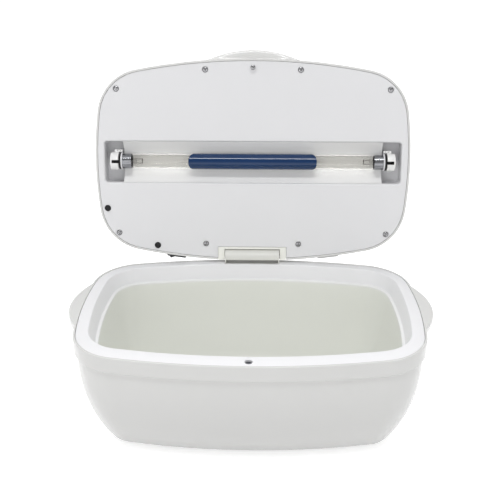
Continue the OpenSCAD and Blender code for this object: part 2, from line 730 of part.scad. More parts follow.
// Sheet behind the lamp, folded into strips along an arc, with a lip along each wall of the trough
sheet = 0.6;
reflector_strips = 5;
reflector_half = cap_face - 2.5;
reflector_half_width = trough_width / 2 - 0.1;
reflector_face = lamp_z + cap_diameter / 2 + 1;
reflector_edge = panel_face + 3;
reflector_lip = 1.2;
reflector_sag = reflector_face - reflector_edge;
reflector_span = reflector_half_width - sheet;
reflector_radius = (reflector_span ^ 2 + reflector_sag ^ 2) / (2 * reflector_sag);
reflector_turn = asin(reflector_span / reflector_radius);
function folded(radius, order) = [for (k = order)
    let (angle = reflector_turn * (2 * k / reflector_strips - 1))
    [radius * sin(angle), reflector_face - reflector_radius + radius * cos(angle)]];
module lamp_reflector() {
    low = reflector_edge - reflector_lip;
    inner = folded(reflector_radius, [0 : reflector_strips]);
    outer = folded(reflector_radius + sheet, [reflector_strips - 1 : -1 : 1]);
    color([0.86, 0.86, 0.87]) opened() translate([-reflector_half, trough_shift, 0])
        rotate([90, 0, 90]) linear_extrude(2 * reflector_half) polygon(concat(
            [[-reflector_half_width, low], [-reflector_span, low]], inner,
            [[reflector_span, low], [reflector_half_width, low],
                [reflector_half_width, reflector_edge + sheet]],
            outer, [[-reflector_half_width, reflector_edge + sheet]]));
}

// Lampholder, drawn for one end and mirrored for the other
cup_face = cap_face + 2;
cup_round = 1.6;
contact_inset = 1.9;
contact_spacing = 4.8;
rotor_gap = 0.3;
hub_diameter = 11;
slot_width = 3.4;
module holder(side) {
    color([0.95, 0.95, 0.94]) opened() mirror([side < 0 ? 1 : 0, 0, 0]) difference() {
        union() {
            translate([cup_face, 0, lamp_z]) rotate([0, 90, 0]) rotate_extrude() polygon([[0, 0],
                [cup_diameter / 2 - 0.6, 0], [cup_diameter / 2, 0.6],
                [cup_diameter / 2, cup_length - cup_round],
                [cup_diameter / 2 - 0.3 * cup_round, cup_length - 0.3 * cup_round],
                [cup_diameter / 2 - cup_round, cup_length], [0, cup_length]]);
            block([post_x - post_half_x, -post_half_y, lamp_z],
                [post_x + post_half_x, post_half_y, trough_floor + trough_wall + 2]);
            block([post_x - post_half_x - 0.8, -8, lamp_z + 6],
                [post_x + post_half_x + 0.8, 8, trough_floor]);
            block([cap_face - 1.4, -12.2, lamp_z + 0.6], [post_x, -10, lamp_z + 7.6]);
            block([cup_face + 0.6, -10.5, lamp_z + 0.6], [post_x, -8, lamp_z + 7.6]);
        }
        rod_x(cup_face - past, cup_face + cup_length - 2, 0, lamp_z, hub_diameter + 2 * rotor_gap);
        block([cup_face - past, -slot_width / 2, lamp_z - cup_diameter],
            [cup_face + cup_length - 2, slot_width / 2, lamp_z]);
        for (x = [1.6, 4.6]) rod_z(lamp_z - 0.4, lamp_z + 3, cap_face + x - 1, -11.1, 1);
        for (s = [-1, 1])
            block([post_x + contact_inset - 0.5, s * contact_spacing / 2 - 1.3, lamp_z - 2.6],
                [post_x + contact_inset + 0.5, s * contact_spacing / 2 + 1.3,
                    trough_floor + trough_wall + 2 + past]);
    }
}
module holder_left() { holder(-1); }
module holder_right() { holder(1); }

module holder_contacts() {
    color([0.8, 0.66, 0.35]) opened() for (side = [-1, 1], s = [-1, 1])
        block([side * (post_x + contact_inset) - 0.3, s * contact_spacing / 2 - 1.1, lamp_z - 2.4],
            [side * (post_x + contact_inset) + 0.3, s * contact_spacing / 2 + 1.1, tail_z]);
}

module rotor(side) {
    color([0.93, 0.93, 0.94]) opened() mirror([side < 0 ? 1 : 0, 0, 0]) difference() {
        union() {
            rod_x(cap_face - 2, cap_face + 0.6, 0, lamp_z, cup_diameter - 0.8);
            rod_x(cap_face, cap_face + pin_length + 0.8, 0, lamp_z, hub_diameter);
        }
        rod_x(cap_face - 2 - past, cap_face, 0, lamp_z, cap_diameter + 0.2);
        block([cap_face - past, -hub_diameter, lamp_z - 1.3],
            [cap_face + pin_length + 2, hub_diameter, lamp_z + 1.3]);
    }
}
module rotor_left() { rotor(-1); }
module rotor_right() { rotor(1); }

cap_base = 2.6;
module lamp_cap(side) {
    color([0.8, 0.8, 0.82]) opened() mirror([side < 0 ? 1 : 0, 0, 0]) difference() {
        rod_x(cap_face - cap_length, cap_face, 0, lamp_z, cap_diameter);
        rod_x(cap_face - cap_length - past, cap_face - cap_base, 0, lamp_z, glass_diameter);
        for (s = [-1, 1]) rod_x(cap_face - cap_base - past, cap_face + past, s * pin_spacing / 2, lamp_z,
            pin_diameter);
    }
}
module lamp_cap_left() { lamp_cap(-1); }
module lamp_cap_right() { lamp_cap(1); }

glass_end = cap_face - cap_base - 0.4;
module lamp_tube() {
    color([0.85, 0.92, 0.95, 0.4]) opened() difference() {
        rod_x(-glass_end, glass_end, 0, lamp_z, glass_diameter);
        rod_x(-glass_end + glass_wall, glass_end - glass_wall, 0, lamp_z, glass_diameter - 2 * glass_wall);
    }
}

module lamp_pins() {
    color([0.8, 0.78, 0.7]) opened() for (side = [-1, 1], s = [-1, 1])
        rod_x(side * (cap_face + (pin_length - cap_base) / 2) - (pin_length + cap_base) / 2,
            side * (cap_face + (pin_length - cap_base) / 2) + (pin_length + cap_base) / 2,
            s * pin_spacing / 2, lamp_z, pin_diameter);
}

stem_length = 13;
module lamp_stems() {
    color([0.85, 0.92, 0.95, 0.6]) opened() for (side = [-1, 1]) mirror([side < 0 ? 1 : 0, 0, 0]) union() {
        rod_x(glass_end - glass_wall - stem_length / 2, glass_end - glass_wall, 0, lamp_z, 5);
        block([glass_end - glass_wall - stem_length, -3.2, lamp_z - 0.9],
            [glass_end - glass_wall - stem_length / 2 + 0.5, 3.2, lamp_z + 0.9]);
    }
}

filament_x = glass_end - glass_wall - stem_length - 6.5;
module lamp_filaments() {
    color([0.45, 0.45, 0.48]) opened() for (side = [-1, 1]) mirror([side < 0 ? 1 : 0, 0, 0]) union() {
        rod_y(-2.8, 2.8, filament_x, lamp_z, 1.3);
        for (s = [-1, 1]) rod_x(filament_x, filament_x + 6.5, s * 2.3, lamp_z, 0.6);
    }
}

film_thickness = 0.15;
module lamp_film() {
    end_radius = 16;
    color([0.09, 0.22, 0.42]) opened() intersection() {
        difference() {
            rod_x(-film_half_length, film_half_length, 0, lamp_z, glass_diameter + 2 * film_thickness);
            rod_x(-film_half_length - past, film_half_length + past, 0, lamp_z, glass_diameter);
        }
        union() {
            block([end_radius - film_half_length, -glass_diameter, lamp_z - glass_diameter],
                [film_half_length - end_radius, glass_diameter, lamp_z + 0.7]);
            for (s = [-1, 1]) rod_z(lamp_z - glass_diameter, lamp_z + 0.7,
                s * (film_half_length - end_radius), 0, 2 * end_radius);
        }
    }
}

// Hinge parts that ride on the lid
module hinge_yoke() {
    yoke_front = hinge_y - 12;
    yoke_rear = hinge_y + 2.3;
    inside_wall = half_depth - lid_draft - lid_wall - 2.4;
    color([0.94, 0.93, 0.9]) opened() difference() {
        union() {
            block([-yoke_outer, yoke_front, lid_gap + 0.1], [yoke_outer, inside_wall, notch_top + 2]);
            block([-yoke_outer, yoke_front, lid_gap + 0.1], [yoke_outer, yoke_rear, notch_top - seam_gap]);
            for (s = [-1, 1])
                block([s * lug_screw_x - 5.5, yoke_front - 10.6, lug_low],
                    [s * lug_screw_x + 5.5, yoke_front + past, lug_high]);
        }
        rod_x(-yoke_inner, yoke_inner, hinge_y, hinge_rise, 2 * (barrel_radius + hinge_gap));
        block([-yoke_inner, hinge_y - barrel_radius - hinge_gap, 0], [yoke_inner, half_depth, hinge_rise]);
        block([-yoke_inner, hinge_y, 0], [yoke_inner, half_depth, notch_top - seam_gap + 0.2]);
        rod_x(-yoke_outer - past, yoke_outer + past, hinge_y, hinge_rise, hinge_pin_diameter);
        for (s = [-1, 1]) rod_z(lug_low - past, lug_high + past, s * lug_screw_x, lug_screw_y, screw_hole);
    }
}

module yoke_screws() {
    color([0.72, 0.72, 0.74]) opened() for (s = [-1, 1])
        translate([s * lug_screw_x, lug_screw_y, lug_low - screw_head_height])
        cross_screw(screw_head, screw_head_height, screw_shank, 10);
}

module hinge_pin() {
    color([0.7, 0.7, 0.72]) opened()
        rod_x(-yoke_outer + 0.2, yoke_outer - 0.2, hinge_y, hinge_rise, hinge_pin_diameter);
}

// Switch on the left of the back wall, inlet on the right
rocker_radius = housing_length / 2 - 0.95;
rocker_gap = 0.35;
rocker_half = 5;
pivot_depth = 1;
vertex_height = 1.6;
housing_depth = 12.5;
module switch_housing() {
    color([0.1, 0.1, 0.11]) opened() on_back_wall(-1) difference() {
        union() {
            rotate([-90, 0, 0]) rounded_box(bezel_length / 2, bezel_height / 2, 1.2, 0.05, 2);
            block([-housing_length / 2, -housing_depth, -housing_height / 2],
                [housing_length / 2, 0.1, housing_height / 2]);
        }
        rod_z(-rocker_half - rocker_gap, rocker_half + rocker_gap, 0, -pivot_depth,
            2 * (rocker_radius + rocker_gap));
        rod_z(-bezel_height, bezel_height, 0, -pivot_depth, 3);
    }
}

module switch_rocker() {
    color([0.13, 0.13, 0.14]) opened() on_back_wall(-1) union() {
        intersection() {
            rod_z(-rocker_half, rocker_half, 0, -pivot_depth, 2 * rocker_radius);
            translate([0, 0, -rocker_half]) linear_extrude(2 * rocker_half) polygon([[0, vertex_height],
                [-20 * cos(rocker_travel), vertex_height + 20 * sin(rocker_travel)], [-20, -4.6],
                    [20, -4.6], [20, vertex_height]]);
        }
        rod_z(-rocker_half - 0.8, rocker_half + 0.8, 0, -pivot_depth, 2.4);
    }
}

module switch_terminals() {
    color([0.8, 0.66, 0.35]) opened() on_back_wall(-1) for (x = [-5, 5])
        block([x - 0.4, -housing_depth - 7, -2.4], [x + 0.4, -housing_depth, 2.4]);
}

socket_depth = 11;
inlet_depth = 15;
module mains_inlet() {
    color([0.1, 0.1, 0.11]) opened() on_back_wall(1) difference() {
        union() {
            rotate([-90, 0, 0]) rounded_box(inlet_length / 2, inlet_height / 2, 1.6, 0.05, 1.6);
            block([-inlet_body_length / 2, -inlet_depth, -inlet_body_height / 2],
                [inlet_body_length / 2, 0.1, inlet_body_height / 2]);
        }
        for (s = [-1, 1]) {
            rod_y(1.6 - socket_depth, 2 + past, s * 3.8, 0, 8.4);
            rod_y(-inlet_depth - past, 0, s * 4.3, 0, 2.36);
        }
        block([-3.8, 1.6 - socket_depth, -3.4], [3.8, 2 + past, 3.4]);
    }
}

module inlet_pins() {
    color([0.78, 0.78, 0.8]) opened() on_back_wall(1) for (s = [-1, 1])
        rod_y(-inlet_depth - 4, -0.6, s * 4.3, 0, 2.36);
}

// Ballast behind the panel
board_top = board_low + board_thickness;
module ballast_board() {
    color([0.75, 0.68, 0.45]) opened() difference() {
        block([-board_length / 2, board_y - board_width / 2, board_low],
            [board_length / 2, board_y + board_width / 2, board_top]);
        for (p = board_screw_places)
            rod_z(board_low - past, board_top + past, p[0], p[1], board_screw + 0.4);
    }
}

module ballast_choke() {
    color([0.85, 0.75, 0.2]) opened() union() {
        block([-8, board_y - 7, board_top], [8, board_y + 7, board_top + 2]);
        block([-7, board_y - 5, board_top + 1.9], [7, board_y + 5, board_top + 11]);
        block([-8, board_y - 7, board_top + 10.9], [8, board_y + 7, board_top + 13]);
    }
}

module ballast_capacitors() {
    color([0.12, 0.18, 0.35]) opened() {
        rod_z(board_top, board_top + 12, -capacitor_x, board_y + 6, 10);
        rod_z(board_top, board_top + 12, -capacitor_x, board_y - 6, 8);
        block([capacitor_x - 7, board_y + 4, board_top], [capacitor_x + 4.5, board_y + 9, board_top + 10]);
        block([capacitor_x - 7, board_y - 8, board_top], [capacitor_x + 3, board_y - 4, board_top + 8]);
    }
}

connector_x = board_length / 2 - 6;
connector_height = 7;
transistor_x = connector_x - 10;
capacitor_x = connector_x - 21;
module ballast_transistors() {
    color([0.15, 0.15, 0.16]) opened() for (y = [-8, 8]) union() {
        for (x = [-2.5, 2.5])
            block([transistor_x + x - 0.5, board_y + y - 1.3, board_top],
                [transistor_x + x + 0.5, board_y + y - 0.5, board_top + 5]);
        block([transistor_x - 5, board_y + y - 2.2, board_top + 4.5],
            [transistor_x + 5, board_y + y + 2.2, board_top + 13]);
    }
}

module ballast_connectors() {
    color([0.94, 0.94, 0.93]) opened() for (s = [-1, 1])
        block([s * connector_x - 4, board_y - board_width / 2 + 8.4, board_top],
            [s * connector_x + 4, board_y + board_width / 2 - 8.4, board_top + connector_height]);
}

module board_screws() {
    color([0.72, 0.72, 0.74]) opened() for (p = board_screw_places)
        translate([p[0], p[1], board_top + 1.2]) mirror([0, 0, 1]) cross_screw(4, 1.2, board_screw, 6);
}

module lid_sensor() {
    color([0.7, 0.85, 0.7]) opened() union() {
        rod_x(sensor_x - 5, sensor_x + 5, sensor_y, panel_back + 1.2, 2.2);
        rod_x(sensor_x - 9, sensor_x + 9, sensor_y, panel_back + 1.2, 0.6);
    }
}

// Wires inside the lid: each ends a little short of what it is joined to
wire_radius = 0.9;
wire_sides = 8;
joint_gap = 0.1;
wire_bend = 18;
wire_run = 26;
wire_lift = 5;
wire_z = trough_floor + trough_wall + wire_radius + 2.4;
wire_end = board_top + connector_height + joint_gap;
module lamp_wires() {
    color([0.85, 0.85, 0.83]) opened() for (side = [-1, 1], s = [-1, 1]) sweep([
        [side * connector_x, board_y - 4 + s * 2.5, wire_end],
        [side * connector_x, board_y - 4 + s * 2.5, wire_end + 3],
        [side * (connector_x + 8), board_y - 12 + s * 2.5, wire_z - 1],
        [side * (connector_x + 30), 14 + s * contact_spacing / 2, wire_z],
        [side * (post_x - 41), 3 + s * contact_spacing / 2, wire_z],
        [side * (post_x - 8), s * contact_spacing / 2, tail_z - wire_radius],
        [side * (post_x + contact_inset - 2.5), s * contact_spacing / 2, tail_z - wire_radius],
        [side * (post_x + contact_inset - 0.3 - joint_gap), s * contact_spacing / 2, tail_z - wire_radius]
    ], wire_radius, wire_sides);
}

// Place behind the back wall of the lid: x along the wall, y outwards, z up from the fittings
rear_y = half_depth - long_side_radius * (1 - cos(wall_turn));
function behind(side, x, y, z) = [
    side * rear_fitting_x + x * cos(wall_turn) + side * y * sin(wall_turn),
    rear_y - side * x * sin(wall_turn) + y * cos(wall_turn), fitting_z + z
];
// Wire from the board to the inlet on the right or to the switch on the left
module supply_wire(side, x, tip) {
    sweep([
        [side * connector_x, board_y + 7, wire_end],
        [side * connector_x, board_y + 7, wire_end + 3],
        [side * (connector_x + 8), board_y + 11, board_top + 9],
        [side * (rear_fitting_x - wire_bend), board_y + 22, board_top],
        behind(side, x, tip - 5, -1.5),
        behind(side, x, tip - 2.5, 0),
        behind(side, x, tip - joint_gap, 0)
    ], wire_radius, wire_sides);
}
module mains_wires() {
    inlet_tip = -inlet_depth - 4;
    switch_tip = -housing_depth - 7;
    color([0.2, 0.2, 0.55]) opened() {
        // From the inlet to the switch
        sweep([
            behind(1, 4.3, inlet_tip - joint_gap, 0), behind(1, 4.3, inlet_tip - 2.5, 0),
            behind(1, 2, inlet_tip - 6, 3.6),
            [rear_fitting_x - wire_bend, rear_y - wire_run, fitting_z + wire_lift],
            [0, rear_y - wire_run - 1, fitting_z + wire_lift],
            [wire_bend - rear_fitting_x, rear_y - wire_run, fitting_z + wire_lift],
            behind(-1, -2, switch_tip - 6, 3.6),
            behind(-1, -5, switch_tip - 2.5, 0), behind(-1, -5, switch_tip - joint_gap, 0)
        ], wire_radius, wire_sides);
        supply_wire(1, -4.3, inlet_tip);
        supply_wire(-1, 5, switch_tip);
    }
}

base_shell();
inner_tub();
catch_magnet();
rubber_feet();
base_screws();
hinge_knuckle();
knuckle_screws();
lid_shell();
lid_panel();
panel_screws();
catch_screw();
lid_bumpers();
lamp_reflector();
holder_left();
holder_right();
holder_contacts();
hinge_yoke();
yoke_screws();
hinge_pin();
ballast_board();
ballast_choke();
ballast_capacitors();
ballast_transistors();
ballast_connectors();
board_screws();
lid_sensor();
switch_housing();
switch_terminals();
mains_inlet();
inlet_pins();
mains_wires();
lamp_wires();
switch_rocker();
lamp_tube();
lamp_cap_left();
lamp_cap_right();
lamp_pins();
lamp_stems();
lamp_filaments();
lamp_film();
rotor_left();
rotor_right();
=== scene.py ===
import math

import bmesh
import bpy
from mathutils import Matrix, Vector


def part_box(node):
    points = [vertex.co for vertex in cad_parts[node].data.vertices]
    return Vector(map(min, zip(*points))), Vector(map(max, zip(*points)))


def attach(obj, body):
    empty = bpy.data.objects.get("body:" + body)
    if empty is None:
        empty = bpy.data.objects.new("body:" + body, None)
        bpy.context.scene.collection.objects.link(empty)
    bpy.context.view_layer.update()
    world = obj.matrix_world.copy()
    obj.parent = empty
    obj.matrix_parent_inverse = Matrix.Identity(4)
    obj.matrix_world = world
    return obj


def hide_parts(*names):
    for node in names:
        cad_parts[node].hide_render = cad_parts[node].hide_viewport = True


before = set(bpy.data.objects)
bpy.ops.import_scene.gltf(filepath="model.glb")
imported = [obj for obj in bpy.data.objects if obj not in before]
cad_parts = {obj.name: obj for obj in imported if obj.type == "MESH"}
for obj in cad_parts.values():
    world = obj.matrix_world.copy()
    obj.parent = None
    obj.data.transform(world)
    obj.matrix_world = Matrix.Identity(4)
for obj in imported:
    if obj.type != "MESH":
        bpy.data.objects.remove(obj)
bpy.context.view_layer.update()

MM = 0.001

# Sizes of the part's source, in millimetres and degrees
HALF_L, HALF_D, RIM = 171.5, 110.0, 122.0
FOOT, SHELL, LIP, SEAM, LID_GAP = 3.0, 3.0, 2.4, 0.35, 1.0
LONG_R, SHORT_R, CORNER_R, LEAST_CORNER_R = 665.0, 410.0, 52.0, 12.0
SKIRT_H, SKIRT_STEP, DRAW, BOTTOM_R, BOTTOM_TILT, BELLY = 17.0, 2.6, 30.0, 12.0, 30.0, 2.4
EAR_REACH, EAR_HALF, EAR_BACK, EAR_DEPTH, EAR_RISE = 11.0, 44.0, 4.5, 9.0, 3.8
WELL_L, WELL_D, WELL_BACK, TUB_DEPTH, TUB_WALL = 314.0, 189.0, 3.6, 108.0, 2.2
WELL_TAPER, STEP_T, STEP_W, STEP_FALL = 4.5, 15.5, 2.6, 1.2
BOWL_DRAW, FLOOR_R, FLOOR_TILT = 17.0, 22.0, 25.0
LID_OPEN, HINGE_Y, HINGE_RISE = 104.0, 106.6, 4.4
BARREL_HALF, HINGE_GAP, YOKE_LEG = 30.0, 0.7, 7.0
LID_WALL, WALL_H, SHOULDER_H, SHOULDER_W, CROWN = 2.2, 17.0, 17.0, 26.0, 2.2
GRIP_REACH, GRIP_HALF, DRAFT = 9.0, 50.0, 0.8
PANEL_FACE, PANEL_BACK = 1.3, 3.7
TROUGH_HALF, TROUGH_W, TROUGH_SHIFT, TROUGH_ROUND = HALF_L - 10, 44.6, 0.8, 2.2
LAMP_Z, CAP_FACE, CAP_R, FILM_HALF = 4.3, 144.0, 8.0, 69.7
GLASS_END, GLASS_R, GLASS_WALL = CAP_FACE - 3.0, 7.75, 0.7
REAR_X, REAR_RISE, BEZEL_L, BEZEL_H, INLET_L, INLET_H = 84.5, 9.7, 21.0, 14.0, 23.0, 14.0
CATCH_Y, CATCH_HOLE_R = -100.4, 3.7
SCREW_HOLE_R, HEAD_HOLE_R, FOOT_R, FOOT_HOLE_R = 1.75, 3.5, 8.0, 8.2
KNUCKLE_SCREW_X, KNUCKLE_SCREW_T = 34.0, 12.5
# From a foot inwards to the screw beside it
BASE_SCREW_IN_X, BASE_SCREW_IN_Y = 4, 21
# From the hinge's axis forwards to the notches in the base, the tub and the lid
BASE_NOTCH, TUB_NOTCH, LID_NOTCH = 6.8, 6.15, 6
# How far a cutter reaches past what it cuts, and the room round a part set in the lid's wall
PAST, SET_ROOM = 3, 0.25
# The well's sides bow a little more than the case's: their radii are less by these
WELL_LONG_LESS, WELL_SHORT_LESS = 17.0, 15.0

# The lid is drawn shut, with the base's rim at z = 0, and swung open about its hinge
OPEN = (Matrix.Translation((0, HINGE_Y * MM, (RIM + HINGE_RISE) * MM))
        @ Matrix.Rotation(math.radians(-LID_OPEN), 4, "X")
        @ Matrix.Translation((0, -HINGE_Y * MM, -HINGE_RISE * MM)))
SHUT = OPEN.inverted()
LAMP = OPEN @ Matrix.Translation((0, 0, LAMP_Z * MM))

# Edges of these angles and more, in degrees, stay sharp
DRAWN_EDGE, CAD_EDGE, BAND_EDGE, WIRE_EDGE = 32.0, 30.0, 50.0, 60.0


# ---------------------------------------------------------------- outlines
def quarter(a, b, ra, rb, rc, ns, nc, nl):
    """Quarter outline from (a, 0) to (0, b): arcs of radius rb, rc and ra that run into each other."""
    lc, sc = (0.0, b - ra), (a - rb, 0.0)
    ax, ay = sc[0] - lc[0], sc[1] - lc[1]
    span = math.hypot(ax, ay)
    along = ((ra - rc) ** 2 - (rb - rc) ** 2 + span ** 2) / (2 * span)
    aside = math.sqrt(max(0.0, (ra - rc) ** 2 - along ** 2))
    ux, uy = ax / span, ay / span
    cx, cy = lc[0] + ux * along + uy * aside, lc[1] + uy * along - ux * aside
    la = math.atan2(cy - lc[1], cx - lc[0])
    sa = math.atan2(cy - sc[1], cx - sc[0])

    def arc(centre, r, a0, a1, n):
        turns = [a0 + (a1 - a0) * i / n for i in range(n)]
        return [(centre[0] + r * math.cos(turn), centre[1] + r * math.sin(turn)) for turn in turns]
    pts = arc(sc, rb, 0.0, sa, ns) + arc((cx, cy), rc, sa, la, nc) + arc(lc, ra, la, math.pi / 2, nl)
    return pts + [(0.0, b)]


def bowed(a, b, ra, rb, rc, ns=18, nc=20, nl=30):
    """Closed outline with bowed sides and round corners, from its quarter."""
    q = quarter(a, b, ra, rb, rc, ns, nc, nl)
    n = len(q) - 1
    return ([q[i] for i in range(n)] + [(-q[i][0], q[i][1]) for i in range(n, 0, -1)]
            + [(-q[i][0], -q[i][1]) for i in range(n)] + [(q[i][0], -q[i][1]) for i in range(n, 0, -1)])


def case_outline(inset):
    return bowed(HALF_L - inset, HALF_D - inset, LONG_R - inset, SHORT_R - inset,
                 max(CORNER_R - inset, LEAST_CORNER_R))


WELL_CORNER = CORNER_R - (2 * HALF_L - WELL_L) / 2


def well_outline(inset):
    outline = bowed(WELL_L / 2 - inset, WELL_D / 2 - inset, LONG_R - inset - WELL_LONG_LESS,
                    SHORT_R - inset - WELL_SHORT_LESS, max(WELL_CORNER - inset, LEAST_CORNER_R))
    return [(x, y + WELL_BACK) for x, y in outline]


def bulge(place, half):
    """Share of a bulge's reach: 1 in its middle, 0 from half its length on."""
    return max(0.0, 1 - (place / half) ** 2)


def ring(outline, z):
    return [(x, y, z) for x, y in outline]


def eared(outline, z, share):
    """Ring that bulges out at both ends, into the ears."""
    return [(x + math.copysign(EAR_REACH * share * bulge(y - EAR_BACK, EAR_HALF), x), y, z)
            for x, y in outline]


def gripped(outline, z, share):
    """Ring that bulges out in front, into the lid's grip."""
    return [(x, y - (GRIP_REACH * share * bulge(x, GRIP_HALF) if y < 0 else 0), z) for x, y in outline]


def smooth_curve(points, steps):
    """Points of a Catmull-Rom curve through tuples, with steps between each two."""
    out = []
    for i in range(len(points) - 1):
        p0, p1 = points[max(i - 1, 0)], points[i]
        p2, p3 = points[i + 1], points[min(i + 2, len(points) - 1)]
        for k in range(steps):
            t = k / steps
            out.append(tuple(0.5 * (2 * b + (c - a) * t + (2 * a - 5 * b + 4 * c - d) * t * t
                                    + (3 * b - a - 3 * c + d) * t ** 3)
                             for a, b, c, d in zip(p0, p1, p2, p3)))
    return out + [points[-1]]


# ---------------------------------------------------------------- meshes
def linked(name, data):
    """New object in the scene."""
    obj = bpy.data.objects.new(name, data)
    bpy.context.scene.collection.objects.link(obj)
    return obj


def new_object(name, mesh, body, material, replaces=()):
    """Piece of the visual model."""
    obj = linked(name, mesh)
    mesh.materials.append(material)
    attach(obj, body)
    if replaces:
        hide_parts(*replaces)
    return obj


def shade(mesh, angle):
    """Shades a mesh smooth, apart from its sharp edges."""
    for p in mesh.polygons:
        p.use_smooth = True
    mesh.set_sharp_from_angle(angle=math.radians(angle))


def finish_mesh(bm, name, angle=DRAWN_EDGE, matrix=None):
    bmesh.ops.recalc_face_normals(bm, faces=bm.faces)
    mesh = bpy.data.meshes.new(name)
    bm.to_mesh(mesh)
    bm.free()
    if matrix is not None:
        mesh.transform(matrix)
    shade(mesh, angle)
    return mesh


def skin(rings):
    """Closed solid through rings of equal length, given in millimetres."""
    bm = bmesh.new()
    rows = [[bm.verts.new((x * MM, y * MM, z * MM)) for x, y, z in r] for r in rings]
    n = len(rings[0])
    for low, high in zip(rows, rows[1:]):
        for i in range(n):
            bm.faces.new((low[i], low[(i + 1) % n], high[(i + 1) % n], high[i]))
    bm.faces.new(rows[0][::-1])
    bm.faces.new(rows[-1])
    return bm


def lathe(profile, steps=64, closed=False):
    """Turned shape about x: profile is (x, radius) in millimetres."""
    bm = bmesh.new()
    rows = []
    for x, r in profile:
        if r <= 0:
            rows.append([bm.verts.new((x * MM, 0, 0))])
        else:
            rows.append([bm.verts.new((x * MM, r * MM * math.cos(2 * math.pi * i / steps),
                                       r * MM * math.sin(2 * math.pi * i / steps))) for i in range(steps)])
    pairs = list(zip(rows, rows[1:])) + ([(rows[-1], rows[0])] if closed else [])
    for a, b in pairs:
        for i in range(steps):
            j = (i + 1) % steps
            if len(a) == 1:
                bm.faces.new((a[0], b[i], b[j]))
            elif len(b) == 1:
                bm.faces.new((a[i], a[j], b[0]))
            else:
                bm.faces.new((a[i], a[j], b[j], b[i]))
    return bm


def box_mesh(low, high):
    bm = bmesh.new()
    bmesh.ops.create_cube(bm, size=1.0)
    size = [(h - l) * MM for l, h in zip(low, high)]
    mid = [(h + l) / 2 * MM for l, h in zip(low, high)]
    return moved(bm, Matrix.Translation(mid) @ Matrix.Diagonal((*size, 1)))


def rod_mesh(start, end, radius, steps=40):
    a, b = Vector(start) * MM, Vector(end) * MM
    bm = bmesh.new()
    bmesh.ops.create_cone(bm, cap_ends=True, segments=steps, radius1=radius * MM, radius2=radius * MM,
                          depth=(b - a).length)
    turn = (b - a).to_track_quat("Z", "Y").to_matrix().to_4x4()
    return moved(bm, Matrix.Translation((a + b) / 2) @ turn)


def moved(bm, matrix):
    bmesh.ops.transform(bm, matrix=matrix, verts=bm.verts)
    return bm


def joined(parts):
    """One bmesh holding several."""
    out = bmesh.new()
    for bm in parts:
        mesh = bpy.data.meshes.new("scratch")
        bm.to_mesh(mesh)
        bm.free()
        out.from_mesh(mesh)
        bpy.data.meshes.remove(mesh)
    return out


def apply_modifiers(obj):
    bpy.context.view_layer.update()
    deps = bpy.context.evaluated_depsgraph_get()
    mesh = bpy.data.meshes.new_from_object(obj.evaluated_get(deps))
    old = obj.data
    obj.modifiers.clear()
    obj.data = mesh
    bpy.data.meshes.remove(old)


def cut(obj, cutters, operation="DIFFERENCE"):
    """Cuts solids, given as bmeshes, out of an object's mesh, or keeps what lies in them."""
    for bm in cutters:
        mesh = bpy.data.meshes.new("cutter")
        bmesh.ops.recalc_face_normals(bm, faces=bm.faces)
        bm.to_mesh(mesh)
        bm.free()
        tool = linked("cutter", mesh)
        mod = obj.modifiers.new("cut", "BOOLEAN")
        mod.operation = operation
        mod.solver = "EXACT"
        mod.object = tool
        apply_modifiers(obj)
        bpy.data.objects.remove(tool)
        bpy.data.meshes.remove(mesh)
    shade(obj.data, DRAWN_EDGE)
    return obj


WELD, FLAT_ANGLE = 2e-6, 0.6


def refined(node, body, material, bevel=0.25, name=None, angle=CAD_EDGE, segments=2):
    """Copy of a CAD node with its coplanar faces merged, its curves shaded smooth and its edges eased."""
    bm = bmesh.new()
    bm.from_mesh(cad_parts[node].data)
    bmesh.ops.remove_doubles(bm, verts=bm.verts, dist=WELD)
    bmesh.ops.dissolve_limit(bm, angle_limit=math.radians(FLAT_ANGLE), use_dissolve_boundaries=False,
                             verts=bm.verts, edges=bm.edges)
    obj = new_object(name or node + "_form", finish_mesh(bm, node, angle), body, material, (node,))
    if bevel:
        mod = obj.modifiers.new("ease", "BEVEL")
        mod.width = bevel * MM
        mod.segments = segments
        mod.limit_method = "ANGLE"
        mod.angle_limit = math.radians(angle)
        mod.harden_normals = True
        mod.miter_outer = "MITER_ARC"
        mod.use_clamp_overlap = True
    return obj


# ---------------------------------------------------------------- materials
def add_node(nodes, kind, **values):
    """New shader node with values on its sockets; an underscore stands for a space in a socket's name."""
    node = nodes.new("ShaderNode" + kind)
    for name, value in values.items():
        node.inputs[name.replace("_", " ")].default_value = value
    return node


def two_tone(nodes, *ends):
    """Colour ramp between two ends, each a position and a colour."""
    ramp = add_node(nodes, "ValToRGB")
    for k, (position, colour) in enumerate(ends):
        ramp.color_ramp.elements[k].position = position
        ramp.color_ramp.elements[k].color = (*colour, 1)
    return ramp


